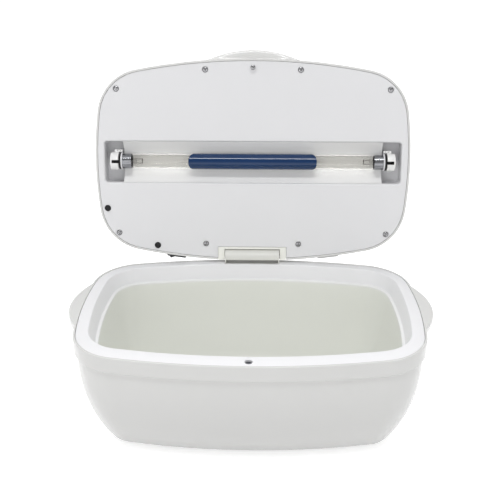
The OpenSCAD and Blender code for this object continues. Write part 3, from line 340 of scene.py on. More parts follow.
def material(name, colour, rough, metal=0.0, coat=0.0, coat_rough=0.05, specular=0.5, grain=900.0,
             bump=0.03, spread=0.05, tint=0.03, ior=1.5, transmission=0.0, stretch=None, zones=None,
             clear=False):
    """Moulded, turned or painted surface: fine bump, uneven gloss and a faint drift of colour.

    zones gives two heights in metres and the colour below them; clear lets light through to what is behind.
    """
    mat = bpy.data.materials.new(name)
    mat.use_nodes = True
    nodes, links = mat.node_tree.nodes, mat.node_tree.links
    shader = nodes["Principled BSDF"]
    for socket, value in (("Metallic", metal), ("IOR", ior), ("Specular IOR Level", specular),
                          ("Coat Weight", coat), ("Coat Roughness", coat_rough),
                          ("Transmission Weight", transmission)):
        shader.inputs[socket].default_value = value
    if clear:
        path = add_node(nodes, "LightPath")
        through = add_node(nodes, "BsdfTransparent", Color=(0.95, 0.95, 0.94, 1))
        either = add_node(nodes, "MixShader")
        links.new(path.outputs["Is Shadow Ray"], either.inputs["Fac"])
        links.new(shader.outputs[0], either.inputs[1])
        links.new(through.outputs[0], either.inputs[2])
        links.new(either.outputs[0], nodes["Material Output"].inputs["Surface"])
    coords = add_node(nodes, "TexCoord")
    place = add_node(nodes, "Mapping")
    if stretch:
        place.inputs["Scale"].default_value = stretch
    links.new(coords.outputs["Object"], place.inputs["Vector"])
    large = add_node(nodes, "TexNoise", Scale=14.0, Detail=3.0)
    small = add_node(nodes, "TexNoise", Scale=grain, Detail=4.0)
    links.new(place.outputs["Vector"], large.inputs["Vector"])
    links.new(place.outputs["Vector"], small.inputs["Vector"])
    ramp = two_tone(nodes, (0.3, [max(0.0, c * (1 - tint)) for c in colour]),
                    (0.7, [min(1.0, c * (1 + tint * 0.6)) for c in colour]))
    links.new(large.outputs["Fac"], ramp.inputs["Fac"])
    tone = ramp.outputs["Color"]
    if zones:
        low, high, colour_below = zones
        split = add_node(nodes, "SeparateXYZ")
        links.new(coords.outputs["Object"], split.inputs["Vector"])
        level = add_node(nodes, "MapRange", From_Min=low, From_Max=high)
        links.new(split.outputs["Z"], level.inputs["Value"])
        mix = add_node(nodes, "Mix")
        mix.data_type = "RGBA"
        mix.inputs["A"].default_value = (*colour_below, 1)
        links.new(level.outputs["Result"], mix.inputs["Factor"])
        links.new(tone, mix.inputs["B"])
        tone = mix.outputs["Result"]
    links.new(tone, shader.inputs["Base Color"])
    gloss = add_node(nodes, "MapRange", From_Min=0.35, From_Max=0.65, To_Min=max(0.0, rough - spread),
                     To_Max=min(1.0, rough + spread))
    links.new(small.outputs["Fac"], gloss.inputs["Value"])
    links.new(gloss.outputs["Result"], shader.inputs["Roughness"])
    if bump:
        relief = add_node(nodes, "Bump", Strength=bump, Distance=0.0002)
        links.new(small.outputs["Fac"], relief.inputs["Height"])
        links.new(relief.outputs["Normal"], shader.inputs["Normal"])
    return mat


WHITE = material("glossy_white_shell", (0.665, 0.665, 0.655), 0.24, coat=0.25, bump=0.006, tint=0.01,
                 grain=500, spread=0.02)
TUB = material("glossy_white_tub", (0.79, 0.79, 0.805), 0.36, specular=0.35, bump=0.006, tint=0.01, grain=500,
               spread=0.02, zones=(0.1035, 0.1075, (0.80, 0.81, 0.765)))
PANEL = material("satin_white_panel", (0.74, 0.74, 0.755), 0.42, coat=0.05, bump=0.015, tint=0.01, grain=900,
                 spread=0.03)
CREAM = material("off_white_hinge", (0.86, 0.86, 0.81), 0.36, coat=0.1, bump=0.02, tint=0.015)
KNUCKLE = material("grey_white_knuckle", (0.68, 0.68, 0.645), 0.36, coat=0.1, bump=0.02, tint=0.015)
# Dark grey for the hinge knuckle's recess: painted shade, since the knuckle is one grey-white moulding
PAINTED_RECESS_SHADE = material("knuckle_recess_painted_shade", (0.30, 0.30, 0.29), 0.5, bump=0.02, tint=0.015)
HOLDER = material("gloss_white_lampholder", (0.84, 0.84, 0.83), 0.2, coat=0.35, bump=0.02, tint=0.015)
ROTOR = material("pale_grey_rotor", (0.72, 0.72, 0.74), 0.3, coat=0.2, bump=0.02, tint=0.02)
HUB = material("black_rotor_hub", (0.012, 0.012, 0.013), 0.45, bump=0.05, tint=0.1, specular=0.25)
REFLECTOR = material("white_enamel_sheet", (0.85, 0.85, 0.85), 0.5, specular=0.1, bump=0.015, tint=0.01)
CHROME = material("bright_plated_screw", (0.34, 0.34, 0.35), 0.2, metal=1.0, bump=0.04, tint=0.06, grain=2500)
STEEL = material("plain_steel", (0.55, 0.55, 0.56), 0.32, metal=1.0, bump=0.06, tint=0.06, grain=1800,
                 stretch=(0.1, 1, 1))
CAP = material("turned_aluminium_cap", (0.27, 0.275, 0.29), 0.14, metal=1.0, bump=0.05, tint=0.05, grain=2600,
               stretch=(6, 0.4, 0.4))
BRASS = material("brass_contact", (0.66, 0.52, 0.24), 0.3, metal=1.0, bump=0.05, tint=0.08)
FILAMENT = material("dull_wire", (0.16, 0.15, 0.14), 0.5, metal=1.0, bump=0.05, tint=0.1)
RUBBER = material("matt_black_rubber", (0.018, 0.018, 0.019), 0.75, bump=0.15, tint=0.15, specular=0.3)
BLACK = material("black_moulded", (0.014, 0.014, 0.016), 0.38, coat=0.1, bump=0.06, tint=0.15)
MAGNET = material("dark_plated_magnet", (0.10, 0.105, 0.12), 0.4, metal=0.8, bump=0.08, tint=0.15)
BOARD = material("tan_laminate", (0.46, 0.33, 0.15), 0.5, bump=0.1, tint=0.12, grain=1500)
CORE = material("taped_ferrite", (0.55, 0.42, 0.06), 0.45, bump=0.1, tint=0.15)
CAPACITOR = material("sleeved_capacitor", (0.02, 0.04, 0.12), 0.3, coat=0.3, bump=0.04, tint=0.1)
WIRE = material("grey_insulation", (0.60, 0.60, 0.60), 0.45, bump=0.05, tint=0.05)
GLASS = material("lamp_glass", (0.84, 0.835, 0.82), 0.01, spread=0.01, bump=0.0, tint=0.005, ior=1.14,
                 transmission=1.0, coat=0.35, coat_rough=0.0, clear=True)
FILM = material("deep_blue_band", (0.0, 0.027, 0.105), 0.02, specular=0.5, bump=0.0, tint=0.08, spread=0.005)


# ---------------------------------------------------------------- base shell
BODY_D = RIM - FOOT
BODY_TURN = math.radians(BOTTOM_TILT)
BODY_TURN_T = BODY_D - BOTTOM_R * (1 - math.sin(BODY_TURN))
# Rows of inset and depth below the rim; in the ear's edge also the share of its reach
BAND_ROWS = [(2.62, 18.1), (2.6, 17.7), (2.5, 17.35), (2.2, 17.0), (1.4, 16.65), (0.7, 16.3), (0.32, 15.95),
             (0.12, 15.5), (0.03, 15.0), (0.0, 14.4), (0.0, 12.0), (0.0, 9.6)]
EAR_EDGE_ROWS = [(0, 3.4, 1), (0, 2.0, 1), (0.02, 1.3, 1), (0.1, 0.8, 0.985), (0.22, 0.42, 0.96),
                 (0.38, 0.16, 0.93), (0.6, 0.03, 0.90), (0.85, 0.0, 0.88)]
LIP_ROWS = [(1.9, 0.0), (2.15, 0.04), (2.32, 0.18), (2.4, 0.5), (2.4, 3.0), (5.6, 3.0), (5.6, 18.0)]


def belly(t):
    """Inset of the body's wall at a depth below the rim."""
    return SKIRT_STEP + DRAW * max(0.0, (t - SKIRT_H) / (BODY_D - SKIRT_H)) ** BELLY


def bottom_ring(tilt, wall):
    """Ring on the round edge under the body, outside for no wall and inside for the wall's thickness."""
    a, r = math.radians(tilt), BOTTOM_R - wall
    return ring(case_outline(belly(BODY_TURN_T) + wall + r * (math.cos(BODY_TURN) - math.cos(a))),
                RIM - (BODY_D - wall - r * (1 - math.sin(a))))


def base_cutters():
    """Hinge notch, knuckle screws, bottom screws and foot recesses."""
    half = BARREL_HALF + SEAM
    cutters = [box_mesh((-half, HINGE_Y - BASE_NOTCH, RIM - 17.35), (half, HALF_D + PAST, RIM + PAST))]
    foot_x, foot_y = [v / MM - FOOT_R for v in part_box("rubber_feet")[1][:2]]
    inside, outside, head_sunk = HALF_D - 10, HALF_D + 4, HALF_D - 2.3
    under, screw_top, head_top, foot_top = 1, 8, FOOT + 1.6, FOOT + 1
    for sx in (-1, 1):
        x, z = sx * KNUCKLE_SCREW_X, RIM - KNUCKLE_SCREW_T
        cutters.append(rod_mesh((x, inside, z), (x, outside, z), SCREW_HOLE_R))
        cutters.append(rod_mesh((x, head_sunk, z), (x, outside, z), HEAD_HOLE_R))
        for sy in (-1, 1):
            screw = (sx * (foot_x - BASE_SCREW_IN_X), sy * (foot_y - BASE_SCREW_IN_Y))
            foot = (sx * foot_x, sy * foot_y)
            cutters.append(rod_mesh((*screw, under), (*screw, screw_top), SCREW_HOLE_R))
            cutters.append(rod_mesh((*screw, under), (*screw, head_top), HEAD_HOLE_R))
            cutters.append(rod_mesh((*foot, under), (*foot, foot_top), FOOT_HOLE_R, 64))
    return cutters


def base_shell():
    """Outside from the bottom to the rim, then over the lip and down the inside."""
    rings = [bottom_ring(90 - (90 - BOTTOM_TILT) * k / 16, 0) for k in range(17)]
    for k in range(23, -1, -1):
        t = SKIRT_H + 1.4 + (BODY_TURN_T - SKIRT_H - 1.4) * (k + 0.3) / 24.3
        rings.append(ring(case_outline(belly(t)), RIM - t))
    rings += [ring(case_outline(inset), RIM - t) for inset, t in BAND_ROWS]
    for k in range(11):
        rings.append(eared(case_outline(0), RIM - (EAR_DEPTH - EAR_RISE * k / 10), math.sin(math.pi / 2 * k / 10)))
    rings += [eared(case_outline(inset), RIM - t, share) for inset, t, share in EAR_EDGE_ROWS]
    rings += [ring(case_outline(inset), RIM - t) for inset, t in LIP_ROWS]
    for share in (0.12, 0.28, 0.46, 0.63, 0.78, 0.9):
        t = SKIRT_H + (BODY_TURN_T - SKIRT_H) * share
        rings.append(ring(case_outline(belly(t) + SHELL), RIM - t))
    rings += [bottom_ring(tilt, SHELL) for tilt in (30, 50, 70, 90)]
    obj = new_object("base_shell_form", finish_mesh(skin(rings), "base_shell_form"), "base", WHITE,
                     ("base_shell",))
    cut(obj, base_cutters())


# ---------------------------------------------------------------- tub
FLOOR_TURN = math.radians(FLOOR_TILT)
FLOOR_TURN_T = TUB_DEPTH - FLOOR_R * (1 - math.sin(FLOOR_TURN))
BOWL_START = WELL_TAPER + STEP_W + 0.7
FLANGE_EDGE_ROWS = [(0, 3.0), (0, 0.95), (0.06, 0.68), (0.22, 0.49), (0.5, 0.4)]
MOUTH_ROWS = [(-2.2, 0.4), (-1.5, 0.41), (-1.0, 0.48), (-0.6, 0.66), (-0.3, 0.98), (-0.1, 1.4), (0.05, 1.95)]
STEP_ROWS = [(4.38, 14.3), (4.5, 14.72), (4.68, 15.05), (4.95, 15.3), (5.4, 15.42), (6.3, 15.52),
             (6.85, 15.62), (7.25, 15.82), (7.55, 16.15), (7.72, 16.6), (7.8, 17.2)]


def bowl(t):
    """Inset of the tub's wall at a depth below the rim, under its step."""
    return BOWL_START + BOWL_DRAW * max(0.0, (t - STEP_T - STEP_FALL) / (FLOOR_TURN_T - STEP_T - STEP_FALL)) ** BELLY


def floor_edge(tilt, wall):
    """Inset and depth on the round edge of the tub's floor, inside for no wall."""
    a = math.radians(tilt)
    return (bowl(FLOOR_TURN_T) - wall + (FLOOR_R + wall) * (math.cos(FLOOR_TURN) - math.cos(a)),
            TUB_DEPTH + wall - (FLOOR_R + wall) * (1 - math.sin(a)))


def inner_tub():
    """Underside from the floor to the flange, then round its edge and down into the well."""
    below = [floor_edge(tilt, TUB_WALL) for tilt in (90, 68, 46, 25)]
    for share in (0.86, 0.7, 0.5, 0.28):
        t = STEP_T + STEP_FALL + (FLOOR_TURN_T - STEP_T - STEP_FALL) * share
        below.append((bowl(t) - TUB_WALL, t))
    below += [(BOWL_START - TUB_WALL, STEP_T + TUB_WALL + 1), (WELL_TAPER - TUB_WALL, STEP_T + 0.4),
              (-TUB_WALL, 3.0)]
    above = MOUTH_ROWS + [(0.05 + 4.3 * k / 8, 1.95 + 12.3 * k / 8) for k in range(1, 8)] + STEP_ROWS
    for k in range(1, 22):
        t = STEP_T + 2.2 + (FLOOR_TURN_T - STEP_T - 2.2) * k / 22
        above.append((bowl(t), t))
    above += [floor_edge(25 + 65 * k / 16, 0.0) for k in range(17)]
    rings = ([ring(well_outline(inset), RIM - t) for inset, t in below]
             + [ring(case_outline(LIP + SEAM + inset), RIM - t) for inset, t in FLANGE_EDGE_ROWS]
             + [ring(well_outline(inset), RIM - t) for inset, t in above])
    obj = new_object("inner_tub_form", finish_mesh(skin(rings), "inner_tub_form"), "base", TUB,
                     ("inner_tub",))
    half = BARREL_HALF + SEAM
    under_flange, catch_depth = RIM - 4, RIM - 3.4
    cut(obj, [box_mesh((-half, HINGE_Y - TUB_NOTCH, under_flange), (half, HALF_D, RIM + PAST)),
              rod_mesh((0, CATCH_Y, catch_depth), (0, CATCH_Y, RIM + PAST), CATCH_HOLE_R, 48)])


# ---------------------------------------------------------------- lid shell
LID_WALL_TOP = LID_GAP + WALL_H
LID_TOP = LID_WALL_TOP + SHOULDER_H
# Sizes of the crown's rings, as shares of its edge
OUTER_CROWN = [1.0, 0.985, 0.96, 0.92, 0.86, 0.78, 0.68, 0.56, 0.42, 0.28, 0.12]
INNER_CROWN = [0.97, 0.75, 0.42, 0.12]
# Rows of inset and height over the rim; in the grip also the share of its reach
LID_EDGE_ROWS = [(DRAFT + LID_WALL, LID_WALL_TOP), (LID_WALL + 0.4, PANEL_BACK + 3.4), (5.0, PANEL_BACK + 1.8),
                 (5.0, PANEL_BACK), (LIP, PANEL_BACK), (LIP, LID_GAP + 0.5), (2.32, LID_GAP + 0.18),
                 (2.15, LID_GAP + 0.04), (1.9, LID_GAP), (0.85, LID_GAP), (0.6, LID_GAP + 0.03),
                 (0.38, LID_GAP + 0.16), (0.22, LID_GAP + 0.4), (0.1, LID_GAP + 0.75), (0.02, LID_GAP + 1.2)]
GRIP_ROWS = [(0, 2.0, 0), (0, 3.6, 0), (0, 4.6, 0.5), (0.0, 5.6, 0.88), (0.05, 7.4, 1.0), (0.15, 10.0, 0.92),
             (0.35, 12.6, 0.58), (0.5, 14.6, 0.25), (0.65, 16.4, 0.05), (DRAFT, LID_WALL_TOP, 0)]


def lid_dome(wall, steps, crown):
    """Rings over the shoulder and the crown, outside for no wall."""
    rings = []
    for k in range(1, steps + 1):
        a = math.radians(90.0 * k / (steps + 1))
        rings.append(ring(case_outline(DRAFT + wall + (SHOULDER_W - wall) * (1 - math.cos(a))),
                          LID_WALL_TOP + (SHOULDER_H - wall) * math.sin(a)))
    top = case_outline(DRAFT + SHOULDER_W)
    for s in crown:
        z = LID_TOP - wall + CROWN * (1 - 0.9 * s * s)
        rings.append([(x * s, y * s, z) for x, y in top])
    return rings


def on_back_wall(side):
    """Place of the switch, at side -1, or the inlet, at side 1, on the shut lid's back wall."""
    turn = math.asin(REAR_X / LONG_R)
    return (Matrix.Translation((side * REAR_X * MM, (HALF_D - LONG_R * (1 - math.cos(turn))) * MM,
                                (LID_GAP + REAR_RISE) * MM)) @ Matrix.Rotation(-side * turn, 4, "Z"))


def lid_shell():
    """Inside from the crown to the seam, then round its edge and over the outside."""
    rings = lid_dome(LID_WALL, 6, INNER_CROWN)[::-1]
    rings += [ring(case_outline(inset), z) for inset, z in LID_EDGE_ROWS]
    for inset, z, share in smooth_curve(GRIP_ROWS, 3):
        rings.append(gripped(case_outline(max(inset, 0)), z, max(share, 0)))
    rings += lid_dome(0, 22, OUTER_CROWN)
    mesh = finish_mesh(skin(rings), "lid_shell_form", matrix=OPEN)
    obj = new_object("lid_shell_form", mesh, "lid", WHITE, ("lid_shell",))
    half, notch_top, through = BARREL_HALF + HINGE_GAP + YOKE_LEG + SEAM, HINGE_RISE + 9.6, 9
    switch_x, switch_z = (BEZEL_L - 2.2) / 2 + SET_ROOM, (BEZEL_H - 1.8) / 2 + SET_ROOM
    inlet_x, inlet_z = (INLET_L - 3) / 2 + SET_ROOM, (INLET_H - 2.4) / 2 + SET_ROOM
    cut(obj, [
        moved(box_mesh((-half, HINGE_Y - LID_NOTCH, -1), (half, HALF_D + PAST, notch_top)), OPEN),
        moved(box_mesh((-switch_x, -through, -switch_z), (switch_x, through, switch_z)),
              OPEN @ on_back_wall(-1)),
        moved(box_mesh((-inlet_x, -through, -inlet_z), (inlet_x, through, inlet_z)), OPEN @ on_back_wall(1)),
    ])


base_shell()
inner_tub()
lid_shell()


# ---------------------------------------------------------------- other pieces of the case
def round_trough(obj):
    """Rounds the edge where the panel's face turns into the lamp trough."""
    bm = bmesh.new()
    bm.from_mesh(obj.data)
    rim = []
    for e in bm.edges:
        a, b = SHUT @ e.verts[0].co, SHUT @ e.verts[1].co
        if all(abs(p.z / MM - PANEL_FACE) < 0.02 and abs(p.x / MM) < TROUGH_HALF + 0.1
               and abs(p.y / MM - TROUGH_SHIFT) < TROUGH_W / 2 + 0.1
               and (abs(p.x / MM) > TROUGH_HALF - 3.1 or abs(p.y / MM - TROUGH_SHIFT) > TROUGH_W / 2 - 0.1)
               for p in (a, b)) and len(e.link_faces) == 2 and e.calc_face_angle() > 1.0:
            rim.append(e)
    bmesh.ops.bevel(bm, geom=rim, offset=TROUGH_ROUND * MM, segments=6, profile=0.5, affect="EDGES",
                    clamp_overlap=True)
    bm.to_mesh(obj.data)
    bm.free()
    shade(obj.data, CAD_EDGE)


def lid_panel():
    panel = refined("lid_panel", "lid", PANEL, 0.0)
    round_trough(panel)
    even = panel.modifiers.new("even", "WEIGHTED_NORMAL")
    even.keep_sharp = True
    even.weight = 100


def hinge_knuckle():
    """Knuckle whose recess under the barrel is given a dark grey material: painted shade, not the part's own colour.
    """
    obj = refined("hinge_knuckle", "base", KNUCKLE, 0.4, segments=3)
    obj.data.materials.append(PAINTED_RECESS_SHADE)
    half, front, low, high = BARREL_HALF - 1.1, HINGE_Y - 3.9, RIM + 0.3, RIM + HINGE_RISE + 0.7
    # Faces in the recess under the barrel take the painted shade
    for p in obj.data.polygons:
        c = p.center / MM
        if abs(c.x) < half and low < c.z < high and c.y > front:
            p.material_index = 1


def lampholder(side, node):
    """White cup, black inside its mouth and in the slot for the lamp's pins."""
    obj = refined(node, "lid", HOLDER, 0.3, segments=3)
    obj.data.materials.append(HUB)
    mouth_r, mouth_start, cup_back = 6.2, 146.4, 154
    slot_half, slot_low, slot_high, facing = 1.8, -9.0, 1, 0.9
    for p in obj.data.polygons:
        c, n = SHUT @ p.center / MM, (SHUT.to_3x3() @ p.normal)
        x, y, z = c.x * side, c.y, c.z - LAMP_Z
        in_mouth = math.hypot(y, z) < mouth_r and mouth_start < x < cup_back
        in_slot = abs(y) < slot_half and abs(n.y) > facing and slot_low < z < slot_high and x < cup_back
        if in_mouth or in_slot:
            p.material_index = 1


lid_panel()
hinge_knuckle()
refined("hinge_yoke", "lid", CREAM, 0.5, segments=3)
refined("catch_magnet", "base", MAGNET, 0.3)
refined("rubber_feet", "base", RUBBER, 0.4)
refined("lid_bumpers", "lid", RUBBER, 0.3)
lampholder(-1, "holder_left")
lampholder(1, "holder_right")
refined("switch_housing", "lid", BLACK, 0.3)
refined("switch_rocker", "rocker", BLACK, 0.35, segments=3)
# The inlet's bezel stands on the wall, and the rest of it is the black insert
for name, slot, finish, operation in (("inlet_bezel", "shell", WHITE, "INTERSECT"),
                                      ("inlet_insert", "black", BLACK, "DIFFERENCE")):
    cut(refined("mains_inlet", "lid", finish, 0.25, name),
        [moved(box_mesh((-20, 0.05, -20), (20, 5, 20)), OPEN @ on_back_wall(1))], operation)
refined("ballast_board", "lid", BOARD, 0.1)
refined("ballast_choke", "lid", CORE, 0.3)
refined("ballast_capacitors", "lid", CAPACITOR, 0.4)
refined("ballast_transistors", "lid", BLACK, 0.15)
refined("ballast_connectors", "lid", HOLDER, 0.2)
refined("mains_wires", "lid", WIRE, 0.0, angle=WIRE_EDGE)
refined("lamp_wires", "lid", WIRE, 0.0, angle=WIRE_EDGE)
for node, body, slot, finish in (("switch_terminals", "lid", "contact", BRASS),
                                 ("holder_contacts", "lid", "contact", BRASS),
                                 ("inlet_pins", "lid", "steel", STEEL), ("hinge_pin", "lid", "steel", STEEL),
                                 ("lid_sensor", "lid", "glass", GLASS), ("yoke_screws", "lid", "screw", CHROME),
                                 ("board_screws", "lid", "screw", CHROME),
                                 ("knuckle_screws", "base", "screw", CHROME),
                                 ("base_screws", "base", "screw", CHROME)):
    refined(node, body, finish, 0.12)


# ---------------------------------------------------------------- panel screws
CROSS_TURN, CROSS_LENGTH, CROSS_WIDTH, CROSS_TAPER = 0.35, 0.62, 0.24, 0.45
SHANK_R, POINT_R, POINT_LENGTH, TURN_BETWEEN = 1.5, 0.4, 1.2, 1.1


def cross_recess(radius, depth):
    """Cutter for the cross in a screw's head: two tapered blades, point up the shank."""
    blades = []
    for turn in (CROSS_TURN, CROSS_TURN + math.pi / 2):
        bm = bmesh.new()
        bmesh.ops.create_cube(bm, size=1.0)
        for v in bm.verts:
            share = 1.0 if v.co.z < 0 else CROSS_TAPER
            v.co = Vector((v.co.x * 2 * radius * CROSS_LENGTH * share, v.co.y * radius * CROSS_WIDTH,
                           v.co.z * 2 * depth)) * MM
        bmesh.ops.rotate(bm, cent=(0, 0, 0), matrix=Matrix.Rotation(turn, 3, "Z"), verts=bm.verts)
        blades.append(bm)
    return blades


def domed_screw(radius, height, length):
    """Domed cross-headed screw: its head's face is at z = 0 and its point is up."""
    profile = [(0.0, 0.0)]
    for k in range(1, 9):
        a = math.radians(90.0 * k / 8)
        profile.append((radius * math.sin(a), height * 0.85 * (1 - math.cos(a))))
    profile += [(radius, height), (SHANK_R, height), (SHANK_R, length - POINT_LENGTH), (POINT_R, length),
                (0.0, length)]
    bm = lathe([(z, r) for r, z in profile], 48)
    bmesh.ops.rotate(bm, cent=(0, 0, 0), matrix=Matrix.Rotation(math.radians(-90), 3, "Y"), verts=bm.verts)
    obj = cut(linked("screw", finish_mesh(bm, "screw")), cross_recess(radius, height * 0.8))
    mesh = obj.data
    bpy.data.objects.remove(obj)
    return mesh


def screw_set(name, node, places, z, radius, height, length):
    """One piece made of copies of a domed screw on the lid, each turned its own way."""
    pattern = domed_screw(radius, height, length)
    bm = bmesh.new()
    for i, (x, y) in enumerate(places):
        copy = pattern.copy()
        copy.transform(OPEN @ Matrix.Translation((x * MM, y * MM, z * MM))
                       @ Matrix.Rotation(TURN_BETWEEN * i, 4, "Z"))
        bm.from_mesh(copy)
        bpy.data.meshes.remove(copy)
    new_object(name, finish_mesh(bm, name), "lid", CHROME, (node,))


CORNER_X, INNER_X = HALF_L - 24.0, 51.2
PANEL_PLACES = [(sx * x, y) for x, y in ((CORNER_X, 32.3 - HALF_D), (INNER_X, 11.8 - HALF_D),
                                         (CORNER_X, HALF_D - 30.8), (INNER_X, HALF_D - 19.0)) for sx in (-1, 1)]
screw_set("panel_screw_heads", "panel_screws", PANEL_PLACES, PANEL_FACE, 3.0, 1.4, 10.0)
screw_set("catch_screw_head", "catch_screw", [(0.0, CATCH_Y)], PANEL_FACE - 3.2, 2.6, 1.3, 13.0)


# ---------------------------------------------------------------- lamp and reflector
def reflector():
    """Smoothly curved sheet in place of the solid's folded one."""
    thick, half_w, edge, end = 0.6, TROUGH_W / 2 - 0.1, PANEL_FACE + 3.0, CAP_FACE - 2.5
    face, span, foot = LAMP_Z + CAP_R + 1.0, half_w - thick, edge - 1.2
    sag = face - edge
    radius = (span ** 2 + sag ** 2) / (2 * sag)
    turn = math.asin(span / radius)

    def arc(r, order):
        return [(r * math.sin(turn * k / 20), face - radius + r * math.cos(turn * k / 20)) for k in order]
    outline = ([(-half_w, foot), (-span, foot)] + arc(radius, range(-20, 21))
               + [(span, foot), (half_w, foot), (half_w, edge + thick)]
               + arc(radius + thick, range(18, -19, -1)) + [(-half_w, edge + thick)])
    rings = [[(x, y + TROUGH_SHIFT, z) for y, z in outline] for x in (-end, end)]
    mesh = finish_mesh(skin(rings), "reflector_sheet", CAD_EDGE, OPEN)
    new_object("reflector_sheet", mesh, "lid", REFLECTOR, ("lamp_reflector",))


def lamp_glass():
    """Tube with closed ends: its outside, and its inside with the faces turned to the bore."""
    end = [(GLASS_END, 0), (GLASS_END, 4.5), (GLASS_END - 0.5, 6.4), (GLASS_END - 1.6, 7.4),
           (GLASS_END - 3.2, GLASS_R)]
    outside = [(-x, r) for x, r in end] + [(x, r) for x, r in reversed(end)]
    inside = [(x * (1 - GLASS_WALL / GLASS_END), max(0, r - GLASS_WALL)) for x, r in outside]
    mesh = finish_mesh(lathe(outside, 96), "lamp_glass_outside", matrix=LAMP)
    new_object("lamp_glass_outside", mesh, "lamp", GLASS, ("lamp_tube",))
    bm = lathe(inside, 96)
    bmesh.ops.recalc_face_normals(bm, faces=bm.faces)
    bmesh.ops.reverse_faces(bm, faces=bm.faces)
    mesh = bpy.data.meshes.new("lamp_glass_inside")
    bm.to_mesh(mesh)
    bm.free()
    mesh.transform(LAMP)
    for p in mesh.polygons:
        p.use_smooth = True
    new_object("lamp_glass_inside", mesh, "lamp", GLASS)


def lamp_band():
    """Blue band that stands a little proud of the glass, its ends rounded towards the panel's front."""
    bm = bmesh.new()
    rows, turns, half_turn = [], 64, math.radians(97.0)
    end_round, end_power, low_r, high_r = 6.0, 2.6, 7.85, 8.55
    for i in range(turns + 1):
        a = half_turn * (2 * i / turns - 1)
        end = FILM_HALF - end_round * (1 - math.sqrt(max(0.0, 1 - abs(math.sin(a)) ** end_power)))
        stops = [-end] + [15.0 * k for k in range(-4, 5)] + [end]
        rows.append([[bm.verts.new((x * MM, r * MM * math.sin(a), -r * MM * math.cos(a))) for x in stops]
                     for r in (low_r, high_r)])
    for (low_a, high_a), (low_b, high_b) in zip(rows, rows[1:]):
        for k in range(len(low_a) - 1):
            bm.faces.new((low_a[k], low_a[k + 1], low_b[k + 1], low_b[k]))
            bm.faces.new((high_a[k], high_b[k], high_b[k + 1], high_a[k + 1]))
        bm.faces.new((low_a[0], low_b[0], high_b[0], high_a[0]))
        bm.faces.new((low_a[-1], high_a[-1], high_b[-1], low_b[-1]))
    for low, high in (rows[0], rows[-1]):
        for k in range(len(low) - 1):
            bm.faces.new((low[k], low[k + 1], high[k + 1], high[k]))
    new_object("lamp_band", finish_mesh(bm, "lamp_band", BAND_EDGE, LAMP), "lamp", FILM, ("lamp_film",))


def rotor(side, node):
    """Black hub with a slot for the pins, and the pale disc between it and the cap."""
    x0 = CAP_FACE
    hub_profile = [(x0 - 0.5, 0), (x0 - 0.5, 9.1), (x0 + 0.6, 9.1), (x0 + 1.1, 8.8), (x0 + 1.2, 5.5),
                   (x0 + 7.4, 5.5), (x0 + 7.8, 5.1), (x0 + 7.8, 0)]
    disc_profile = [(x0 - 2.0, 8.12), (x0 - 2.0, 8.9), (x0 - 1.8, 9.15), (x0 - 1.5, 9.3), (x0 - 0.8, 9.3),
                    (x0 - 0.6, 9.15), (x0 - 0.6, 8.12)]
    hub = new_object(node + "_hub", finish_mesh(lathe(hub_profile, 96), "hub"), "lamp", HUB, (node,))
    pins = joined([rod_mesh((x0 - 1, s * 2.375, 0), (x0 + 4, s * 2.375, 0), 1.25) for s in (-1, 1)])
    cut(hub, [box_mesh((x0 + 0.7, -11, -1.3), (x0 + 9, 11, 1.3)), pins])
    disc = new_object(node + "_disc", finish_mesh(lathe(disc_profile, 96, True), "disc"), "lamp", ROTOR)
    for obj in (hub, disc):
        if side < 0:
            obj.data.transform(Matrix.Scale(-1, 4, (1, 0, 0)))
            obj.data.flip_normals()
        obj.data.transform(LAMP)


reflector()
lamp_glass()
refined("lamp_cap_left", "lamp", CAP, 0.5, segments=3)
refined("lamp_cap_right", "lamp", CAP, 0.5, segments=3)
refined("lamp_pins", "lamp", BRASS, 0.3)
refined("lamp_stems", "lamp", GLASS, 0.2)
refined("lamp_filaments", "lamp", FILAMENT, 0.0)
lamp_band()
rotor(-1, "rotor_left")
rotor(1, "rotor_right")


# ---------------------------------------------------------------- studio
FLOOR_HALF, FLOOR_GLOW = 20, 0.60


def floor_material():
    """Pale floor that also glows white where the camera sees it, straight, mirrored or through glass."""
    mat = bpy.data.materials.new("pale_floor")
    mat.use_nodes = True
    nodes, links = mat.node_tree.nodes, mat.node_tree.links
    nodes.clear()
    out = add_node(nodes, "OutputMaterial")
    path = add_node(nodes, "LightPath")
    diffuse = add_node(nodes, "BsdfDiffuse", Color=(0.80, 0.80, 0.80, 1))
    glow = add_node(nodes, "Emission", Strength=FLOOR_GLOW)
    both = add_node(nodes, "AddShader")
    mix = add_node(nodes, "MixShader")
    seen = path.outputs["Is Camera Ray"]
    for ray in ("Is Glossy Ray", "Is Transmission Ray"):
        either = add_node(nodes, "Math")
        either.operation = "MAXIMUM"
        links.new(seen, either.inputs[0])
        links.new(path.outputs[ray], either.inputs[1])
        seen = either.outputs[0]
    links.new(diffuse.outputs[0], both.inputs[0])
    links.new(glow.outputs[0], both.inputs[1])
    links.new(seen, mix.inputs["Fac"])
    links.new(diffuse.outputs[0], mix.inputs[1])
    links.new(both.outputs[0], mix.inputs[2])
    links.new(mix.outputs[0], out.inputs["Surface"])
    return mat


def studio_floor():
    mesh = bpy.data.meshes.new("studio_floor")
    mesh.from_pydata([(x * FLOOR_HALF, y * FLOOR_HALF, 0) for x, y in ((-1, -1), (1, -1), (1, 1), (-1, 1))],
                     [], [(0, 1, 2, 3)])
    mesh.materials.append(floor_material())
    linked("studio_floor", mesh)


def area(name, place, target, size, size_y, power):
    """Rectangular lamp at a place, turned to a target; metres and watts."""
    data = bpy.data.lights.new(name, "AREA")
    data.shape = "RECTANGLE"
    data.size = size
    data.size_y = size_y
    data.energy = power
    obj = linked(name, data)
    obj.location = place
    obj.rotation_euler = (Vector(target) - Vector(place)).to_track_quat("-Z", "Y").to_euler()


